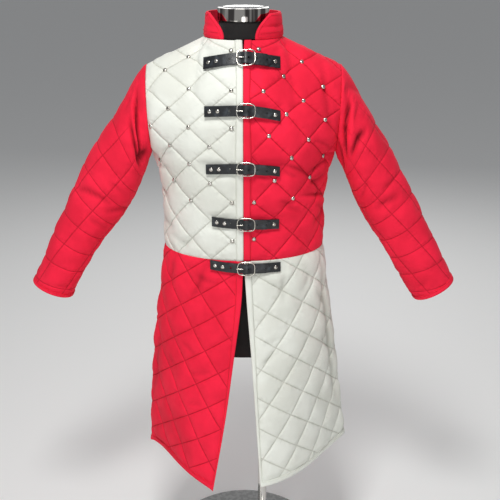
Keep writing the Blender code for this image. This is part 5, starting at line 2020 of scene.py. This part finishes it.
@dataclass
class Leatherwork:
    """One strap-and-buckle closure, with its number from the top."""

    number: int
    closure: Closure
    front: CoatFront = field(default_factory=CoatFront)
    hole_radius: float = 0.0023
    rivet_radius: float = 0.0052
    rivet_rise: float = 0.0026
    rivets_from_end: tuple[float, float] = (0.0125, 0.0315)
    holes: tuple[float, ...] = (-0.032, 0.0125, 0.034, 0.0560)
    point_length: float = 0.016
    edge_rounding: float = 0.0006
    climb: tuple[float, float] = (-0.002, 0.014)

    @property
    def high(self) -> float:
        """How far up a strap lies on another one."""
        return STRAP_LOW + STRAP_THICK + SEAM_GAP

    def build(self) -> None:
        """Makes the closure's pieces."""
        self.billet()
        self.base()
        self.buckle()
        self.prong()
        self.rivets()

    def billet(self) -> None:
        """The long pointed strap that runs through the buckle."""
        near_bar = BUCKLE_X - BUCKLE_HALF_WIDTH
        over_bar = self.high + 2 * BUCKLE_WIRE + SEAM_GAP
        path = (
            (-self.closure.billet_end, STRAP_LOW),
            (near_bar - 0.010, STRAP_LOW),
            (near_bar + 0.003, STRAP_LOW),
            (BUCKLE_X - 0.010, STRAP_LOW + 0.0015),
            (BUCKLE_X - 0.004, over_bar),
            (BUCKLE_X + 0.004, over_bar),
            (BUCKLE_X + 0.012, self.high + 0.0008),
            (BUCKLE_X + 0.020, self.high),
            (BUCKLE_X + 0.040, self.high),
            (self.closure.tip, self.high),
        )
        self.lay(self.slab(path, self.holes, pointed=True), path, f"strap_billet_{self.number}")

    def base(self) -> None:
        """The short square strap that holds the buckle."""
        path = ((BUCKLE_X + 0.003, STRAP_LOW), (self.closure.base_end, STRAP_LOW))
        self.lay(self.slab(path, (), pointed=False), path, f"strap_base_{self.number}")

    def slab(
        self, path: Sequence[tuple[float, float]], holes: Sequence[float], pointed: bool
    ) -> bmesh.types.BMesh:
        """A flat strap with rounded edges and punched holes.

        Args:
            path: Its (x, lift) stations.
            holes: The x of each hole.
            pointed: Whether its far end is pointed.

        Returns:
            The strap, with x along, y across and z from 0 to its thickness.
        """
        start, end = path[0][0], path[-1][0]
        mesh = bmesh.new()
        count = round((end - start) / 0.003)
        bmesh.ops.create_grid(mesh, x_segments=count, y_segments=6, size=1.0)
        half = STRAP_WIDTH / 2
        for vert in mesh.verts:
            share = (vert.co.x + 1) / 2
            x = start + share * (end - start)
            reach = half
            if pointed:
                left = max(0.0, end - x)
                reach = half * min(1.0, (left / self.point_length) ** 0.55 + 0.10)
            vert.co = (x, vert.co.y * reach, 0.0)
        for vert in thicken(mesh):
            vert.co.z = STRAP_THICK
        bmesh.ops.recalc_face_normals(mesh, faces=mesh.faces)
        rim = [edge for edge in mesh.edges if edge.calc_face_angle(0.0) > math.radians(60)]
        bevel(mesh, rim, self.edge_rounding)
        for x in holes:
            mesh = self.punch(mesh, x)
        return mesh

    def punch(self, mesh: bmesh.types.BMesh, x: float) -> bmesh.types.BMesh:
        """Punches one round hole through a flat strap.

        Args:
            mesh: The strap, which is freed.
            x: The hole's place along it.

        Returns:
            The strap with its hole.
        """
        cutter = bmesh.new()
        bmesh.ops.create_cone(
            cutter,
            cap_ends=True,
            segments=16,
            radius1=self.hole_radius,
            radius2=self.hole_radius,
            depth=0.02,
            matrix=Matrix.Translation((x, 0, 0)),
        )
        objects = []
        for part in (mesh, cutter):
            data = bpy.data.meshes.new("punched")
            part.to_mesh(data)
            part.free()
            objects.append(link("punched", data))
        cut = objects[0].modifiers.new("hole", "BOOLEAN")
        cut.operation, cut.object, cut.solver = "DIFFERENCE", objects[1], "EXACT"
        graph = bpy.context.evaluated_depsgraph_get()
        result = bmesh.new()
        result.from_object(objects[0], graph)
        for made in objects:
            discard(made)
        return result

    def lay(self, mesh: bmesh.types.BMesh, path: Sequence[tuple[float, float]], node: str) -> None:
        """Bends a flat strap onto the coat's front.

        Args:
            mesh: The flat strap.
            path: Its (x, lift) stations.
            node: The solid it stands for.
        """
        flat = np.array([vert.co[:] for vert in mesh.verts])
        x = flat[:, 0]
        stations = np.linspace(path[0][0], path[-1][0], 160)
        lift = np.interp(x, stations, Profile(("x", "lift"), tuple(path)).at(stations)["lift"])
        height = self.closure.middle(x)
        points = self.front.on(x, height, lift + flat[:, 2])
        lean = self.front.lean(x, height)
        points += xyz(0 * x, lean, 1 + 0 * x) * flat[:, 1][:, None]
        for vert, point in zip(mesh.verts, points):
            vert.co = point
        bmesh.ops.recalc_face_normals(mesh, faces=mesh.faces)
        made = make_object(f"{node}_leather", mesh, finished(LEATHER))
        made.data.set_sharp_from_angle(angle=math.radians(40))
        declare(made, [node])

    def wire(
        self, name: str, points: Array, radii: Sequence[float], cyclic: bool
    ) -> bpy.types.Object:
        """A round wire through points, as a mesh.

        Args:
            name: The object's name.
            points: The points that it runs through.
            radii: Its radius at each of them.
            cyclic: Whether it closes on itself.

        Returns:
            The object.
        """
        curve = bpy.data.curves.new(name, "CURVE")
        curve.dimensions = "3D"
        curve.bevel_depth = 1.0
        curve.bevel_resolution = 3
        curve.resolution_u = 3
        curve.use_fill_caps = not cyclic
        spline = curve.splines.new("POLY")
        spline.points.add(len(points) - 1)
        for point, place, radius in zip(spline.points, points, radii):
            point.co = (*place, 1.0)
            point.radius = radius
        spline.use_cyclic_u = cyclic
        source = link(name, curve)
        graph = bpy.context.evaluated_depsgraph_get()
        data = bpy.data.meshes.new_from_object(source.evaluated_get(graph))
        data.name = name
        bpy.data.objects.remove(source)
        bpy.data.curves.remove(curve)
        data.shade_smooth()
        return link(name, data)

    def frame_points(self, angle: Array) -> Array:
        """Points of a buckle's rounded frame, whose far bar stands higher."""
        near = self.high + BUCKLE_WIRE
        far = near + STRAP_THICK + SEAM_GAP
        c, s = np.cos(angle), np.sin(angle)
        across = np.sign(c) * np.abs(c) ** BUCKLE_POWER * BUCKLE_HALF_WIDTH
        up = np.sign(s) * np.abs(s) ** BUCKLE_POWER * BUCKLE_HALF_HEIGHT
        rise = ease(np.clip((across - self.climb[0]) / (self.climb[1] - self.climb[0]), 0, 1))
        height = np.full(len(angle), self.closure.height)
        points = self.front.on(BUCKLE_X + across, height, near + (far - near) * rise)
        lean = self.front.lean(np.array([BUCKLE_X]), np.array([self.closure.height]))[0]
        return points + np.array([[0, lean, 1]]) * up[:, None]

    def buckle(self) -> None:
        """The nickel frame with its centre bar."""
        angle = np.linspace(0, 2 * math.pi, 72, endpoint=False)
        name = f"buckle_frame_{self.number}_nickel"
        frame = self.wire(name, self.frame_points(angle), [BUCKLE_WIRE] * 72, True)
        ends = self.frame_points(np.array([math.pi / 2, -math.pi / 2]))
        bar = self.wire(f"{name}_bar", ends, [BUCKLE_WIRE * 0.9] * 2, False)
        mesh = bmesh.new()
        mesh.from_mesh(frame.data)
        mesh.from_mesh(bar.data)
        discard(frame)
        discard(bar)
        piece = make_object(name, mesh, finished(NICKEL))
        declare(piece, [f"buckle_frame_{self.number}"])

    def prong(self) -> None:
        """The tongue: it comes up through its hole and rests on the near bar."""
        near_bar = BUCKLE_X - BUCKLE_HALF_WIDTH
        rest = self.high + 2 * BUCKLE_WIRE + SEAM_GAP + PRONG_RADIUS * 0.9
        xs = np.array([-0.0075, -0.012, -0.0165]) + BUCKLE_X
        xs = np.append(xs, near_bar - 0.0018)
        lifts = np.array([STRAP_LOW + STRAP_THICK + 0.0052, 0, 0, rest])
        lifts[1:3] = np.interp(xs[1:3], [xs[3], xs[0]], [lifts[3], lifts[0]]) + 0.0004
        points = self.front.on(xs, np.full(4, self.closure.height), lifts)
        radii = [PRONG_RADIUS, PRONG_RADIUS, PRONG_RADIUS * 0.9, PRONG_RADIUS * 0.7]
        piece = self.wire(f"buckle_prong_{self.number}_nickel", points, radii, False)
        piece.data.materials.append(finished(NICKEL))
        declare(piece, [f"buckle_prong_{self.number}"])

    def rivets(self) -> None:
        """Two domed rivets on the billet and one on the base strap."""
        near, far = self.rivets_from_end
        billet_end, base_end = self.closure.billet_end, self.closure.base_end
        xs = np.array([near - billet_end, far - billet_end, base_end - near])
        heights = self.closure.middle(xs)
        step = 0.006
        across = self.front.find(xs + step, heights)[0] - self.front.find(xs - step, heights)[0]
        lean = self.front.lean(xs, heights)
        out = unit(xyz(across[:, 1] / (2 * step), -1 + 0 * xs, lean))
        points = self.front.on(xs, heights, STRAP_LOW + STRAP_THICK + SEAM_GAP / 2)
        mesh = bmesh.new()
        for point, way in zip(points, out):
            dome_head(mesh, point, way, self.rivet_radius, self.rivet_rise)
        bmesh.ops.recalc_face_normals(mesh, faces=mesh.faces)
        piece = make_object(f"rivets_{self.number}_nickel", mesh, finished(NICKEL))
        declare(piece, [f"rivet_{self.number}{letter}" for letter in "abc"])


@dataclass
class Topstitching:
    """Rows of single stitches that lie on the cloth along bindings, cuffs and the collar."""

    pitch: float = 0.0042
    length: float = 0.0031
    thickness: float = 0.0007
    lift: float = 0.0026
    inset: float = BINDING_WIDTH - 0.0022
    short_of_seam: float = 0.004

    def row(self, mesh: bmesh.types.BMesh, points: Array, normals: Array) -> None:
        """Lays stitches along a line.

        Args:
            mesh: The mesh of all the stitches.
            points: Points of the line, close together.
            normals: The cloth's normal at each.
        """
        far = travelled(points)
        places = np.arange(self.pitch, far[-1] - self.pitch / 2, self.pitch)
        middle = np.stack([np.interp(places, far, points[:, k]) for k in range(3)], axis=1)
        ahead = np.stack([np.interp(places + 0.001, far, points[:, k]) for k in range(3)], axis=1)
        out = unit(np.stack([np.interp(places, far, normals[:, k]) for k in range(3)], axis=1))
        for point, following, normal in zip(middle, ahead, out):
            along = Vector(following - point).normalized()
            up = Vector(normal)
            side = up.cross(along).normalized()
            up = along.cross(side)
            basis = Matrix((along * self.length, side * self.thickness, up * self.thickness))
            matrix = Matrix.Translation(Vector(point)) @ basis.transposed().to_4x4()
            bmesh.ops.create_cube(mesh, size=1.0, matrix=matrix)

    def line(
        self, mesh: bmesh.types.BMesh, form: Surface, s: Array | float, t: Array | float, mirrored: bool
    ) -> None:
        """Lays a row along a flat line of a panel.

        Args:
            mesh: The mesh of all the stitches.
            form: The panel's form.
            s: The line's places across, or one for all.
            t: Its places along, or one for all.
            mirrored: Whether the panel is on -X.
        """
        u, v = np.broadcast_arrays(s / form.width, t / form.height)
        normals = form.normals(u, v)
        points = form.points(u, v) + normals * self.lift
        if mirrored:
            points, normals = points * MIRROR, normals * MIRROR
        self.row(mesh, points, normals)

    def build(self) -> None:
        """Makes the red and the off-white stitches."""
        red, white = bmesh.new(), bmesh.new()
        inset, short = self.inset, self.short_of_seam
        for side in Side:
            top, bottom = (white, red) if side is Side.RIGHT else (red, white)
            form = BodiceForm(*BODICE_SIZE)
            self.line(top, form, inset, np.linspace(short, form.height - short, 200), side.mirrored)
            for front in (True, False):
                skirt = SkirtForm(*SKIRT_SIZE, SKIRT_ROWS[side, front])
                hem = skirt.height - inset
                self.line(bottom, skirt, inset, np.linspace(short, hem, 240), side.mirrored)
                s = np.linspace(inset, skirt.width - 0.003, 160)
                self.line(bottom, skirt, s, hem, side.mirrored)
            sleeve = SleeveForm(*SLEEVE_SIZE, SLEEVE_ROWS[side])
            s = np.linspace(0.001, sleeve.width - 0.001, 200)
            self.line(red, sleeve, s, sleeve.height - inset, side.mirrored)
        self.collar(red)
        declare(make_object("topstitching_red", red, finished(RED_THREAD)))
        declare(make_object("topstitching_white", white, finished(WHITE_THREAD)))

    def collar(self, mesh: bmesh.types.BMesh) -> None:
        """Rows along the collar's base, middle, top and ends.

        Args:
            mesh: The mesh of the red stitches.
        """
        form = CollarForm(*COLLAR_SIZE)
        low, high, end, other_end = 0.10, 0.92, 0.010, 0.990
        across, up = np.linspace(end, other_end, 400), np.linspace(low, high, 60)
        rows = [(across, v, lift) for v, lift in ((low, self.lift), (0.27, 0.0036), (high, 0.0022))]
        rows += [(u, up, self.lift) for u in (end, other_end)]
        for u, v, lift in rows:
            points = form.points(*np.broadcast_arrays(u, v))
            normals = unit(points * (1, 1, 0))
            self.row(mesh, points + normals * lift, normals)


@dataclass
class DressForm:
    """The limbless form on its pole and round base."""

    sides: int = 96
    neck_radius: float = 0.063
    cap_low: float = 1.519
    cap_top: float = 1.550
    pole_x: float = 0.052
    pole_radius: float = 0.0125
    base_radius: float = 0.220
    base_thick: float = 0.006
    base_boss: float = 0.003
    boss_radius: float = 0.080
    smooth_below: float = 1.33

    def build(self) -> None:
        """Makes the torso, neck cap, pole and base."""
        declare(self.torso(), ["form_torso"])
        edge = 0.003
        cap = (
            (0.0, self.cap_low),
            (self.neck_radius - 0.0015, self.cap_low),
            (self.neck_radius, self.cap_low + 0.0015),
            (self.neck_radius, self.cap_top - edge),
            (self.neck_radius - 0.0009, self.cap_top - 0.0009),
            (self.neck_radius - edge, self.cap_top),
            (self.neck_radius - 0.012, self.cap_top - 0.0006),
            (0.0, self.cap_top - 0.0010),
        )
        piece = self.lathe("form_neck_cap_chrome", cap, (0.0, -0.003), finished(CHROME))
        plain = finished(STAND_CHROME)
        declare(piece, ["form_neck_cap"])
        top = FORM[0][0] - SEAM_GAP
        foot = self.base_thick + self.base_boss + SEAM_GAP
        pole = (
            (0.0, foot),
            (self.pole_radius, foot),
            (self.pole_radius, top - 0.012),
            (0.030, top - 0.0112),
            (0.030, top),
            (0.0, top),
        )
        piece = self.lathe("form_pole_chrome", pole, (self.pole_x, 0.0), plain)
        declare(piece, ["form_pole"])
        base = (
            (0.0, 0.0),
            (self.base_radius - 0.001, 0.0),
            (self.base_radius, 0.001),
            (self.base_radius, self.base_thick - 0.002),
            (self.base_radius - 0.0007, self.base_thick - 0.0006),
            (self.base_radius - 0.002, self.base_thick),
            (self.boss_radius, self.base_thick + self.base_boss),
            (0.0, self.base_thick + self.base_boss),
        )
        piece = self.lathe("form_base_chrome", base, (0.0, 0.0), plain)
        declare(piece, ["form_base"])

    def lathe(
        self,
        name: str,
        outline: Sequence[tuple[float, float]],
        centre: tuple[float, float],
        metal: bpy.types.Material,
    ) -> bpy.types.Object:
        """Turns an outline about an upright axis.

        Args:
            name: The piece's name.
            outline: (radius, height) from the axis and back to it.
            centre: Where the axis stands.
            metal: Its finish.

        Returns:
            The object.
        """
        mesh = bmesh.new()
        verts = [mesh.verts.new((radius + centre[0], centre[1], z)) for radius, z in outline]
        edges = [mesh.edges.new(pair) for pair in zip(verts, verts[1:])]
        bmesh.ops.spin(
            mesh,
            geom=verts + edges,
            cent=(*centre, 0.0),
            axis=(0, 0, 1),
            angle=2 * math.pi,
            steps=self.sides,
            use_merge=True,
        )
        bmesh.ops.remove_doubles(mesh, verts=mesh.verts, dist=1e-6)
        bmesh.ops.recalc_face_normals(mesh, faces=mesh.faces)
        made = make_object(name, mesh, metal)
        made.data.set_sharp_from_angle(angle=math.radians(30))
        return made

    def rows(self) -> tuple[tuple[float, ...], ...]:
        """The torso's rings, whose ridge lies just under the coat's shoulder seams."""
        slope = (NECK_Z - SHOULDER_Z) / (SHOULDER_X - NECK_HALF_WIDTH)
        drop = WALL + 0.0006
        rings = list(FORM)
        for x, depth, pointed in ((0.181, 0.050, 2.0), (0.145, 0.052, 2.0), (0.108, 0.048, 1.9)):
            z = NECK_Z - (x - NECK_HALF_WIDTH) * slope - drop
            rings.append((z, x, depth, 0.0, pointed))
        rings.append((NECK_Z, 0.070, 0.062, -0.003, 1.0))
        rings.append((NECK_Z + 0.012, 0.0605, 0.0605, -0.003, 1.0))
        rings.append((self.cap_low - SEAM_GAP, 0.060, 0.060, -0.003, 1.0))
        return tuple(rings)

    def torso(self) -> bpy.types.Object:
        """The smooth torso and neck under its black cover.

        Returns:
            The object.
        """
        rings = np.array(self.rows())
        heights = np.concatenate(
            [np.linspace(low, high, 6, endpoint=False) for low, high in zip(rings[:-1, 0], rings[1:, 0])]
            + [[rings[-1, 0]]]
        )
        columns = [np.interp(heights, rings[:, 0], rings[:, k]) for k in range(1, 5)]
        mesh = bmesh.new()
        bmesh.ops.create_grid(mesh, x_segments=self.sides, y_segments=len(heights) - 1, size=1.0)
        for vert in mesh.verts:
            row = round((vert.co.y + 1) / 2 * (len(heights) - 1))
            angle = (vert.co.x + 1) * math.pi
            half_width, half_depth, middle_y, pointed = (column[row] for column in columns)
            c, s = math.cos(angle), math.sin(angle)
            x = half_width * math.copysign(abs(c) ** pointed, c)
            y = middle_y + half_depth * math.copysign(abs(s) ** pointed, s)
            vert.co = (x, y, heights[row])
        bmesh.ops.remove_doubles(mesh, verts=mesh.verts, dist=1e-6)
        bmesh.ops.holes_fill(mesh, edges=mesh.edges, sides=0)
        bmesh.ops.recalc_face_normals(mesh, faces=mesh.faces)
        below = [vert for vert in mesh.verts if vert.co.z < self.smooth_below]
        level = {"use_axis_x": True, "use_axis_y": True, "use_axis_z": False}
        bmesh.ops.smooth_vert(mesh, verts=below, factor=0.4, **level)
        made = make_object("form_torso_smooth", mesh, finished(JERSEY))
        made.data.set_sharp_from_angle(angle=math.radians(50))
        return made


@dataclass
class Studio:
    """A plain pale floor, soft light panels all round and the photograph's view.

    Each lamp has its name, its place, what it points at, its size and its power in watts.
    """

    camera_place: tuple[float, float, float] = (0.016, -2.2, 1.74)
    pitch_down: float = math.radians(20.4)
    lens: float = 63.4
    floor_size: float = 40.0
    sky: str = "#F4F6FA"
    sky_strength: float = 0.28
    lamps: tuple = (
        ("key", (-0.3, -1.5, 3.6), (0.0, 0.0, 1.0), (0.8, 0.8), 62.0),
        ("fill", (0.3, -2.8, 0.9), (0.0, 0.0, 0.9), (1.2, 1.6), 17.0),
        ("back", (0.4, 2.6, 2.8), (0.0, 0.0, 1.0), (2.2, 2.2), 38.0),
        ("left_panel", (-1.65, -1.75, 0.75), (0.0, 0.0, 1.3), (1.6, 1.2), 4.5),
    )

    def build(self) -> None:
        """Makes the floor, the lights and the camera."""
        mesh = bmesh.new()
        bmesh.ops.create_grid(mesh, x_segments=2, y_segments=2, size=self.floor_size)
        floor = make_object("floor", mesh, finished(StudioPaper()))
        for lamp in self.lamps:
            self.lamp(*lamp)
        world = bpy.data.worlds.new("studio")
        world.use_nodes = True
        background = world.node_tree.nodes["Background"].inputs
        background["Color"].default_value = linear(self.sky)
        background["Strength"].default_value = self.sky_strength
        bpy.context.scene.world = world
        bpy.context.scene.view_settings.view_transform = "Standard"
        self.camera()

    def lamp(
        self,
        name: str,
        place: tuple[float, float, float],
        aim: tuple[float, float, float],
        size: tuple[float, float],
        power: float,
    ) -> None:
        """Adds a soft light panel.

        Args:
            name: Its name.
            place: Where it hangs.
            aim: What it points at.
            size: Its width and height.
            power: Its power in watts.
        """
        light = bpy.data.lights.new(name, "AREA")
        light.shape, light.energy = "RECTANGLE", power
        light.size, light.size_y = size
        made = link(name, light)
        made.location = place
        made.rotation_euler = (Vector(aim) - Vector(place)).to_track_quat("-Z", "Y").to_euler()

    def camera(self) -> None:
        """Stands the camera where the photograph was taken from."""
        data = bpy.data.cameras.new("camera")
        data.lens, data.sensor_width, data.sensor_fit = self.lens, 36.0, "HORIZONTAL"
        made = link("camera", data)
        made.location = self.camera_place
        made.rotation_euler = (math.pi / 2 - self.pitch_down, 0.0, 0.0)
        bpy.context.scene.camera = made


def main() -> None:
    """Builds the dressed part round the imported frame."""
    logging.basicConfig(level=logging.INFO, format="%(name)s: %(message)s")
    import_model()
    Studio().build()
    DressForm().build()
    trunk = Trunk()
    trunk.build()
    Sleeves().build()
    Collar().build()
    Studs(trunk).build()
    for number, closure in enumerate(CLOSURES, start=1):
        Leatherwork(number, closure).build()
    Topstitching().build()


if __name__ == "__main__":
    main()
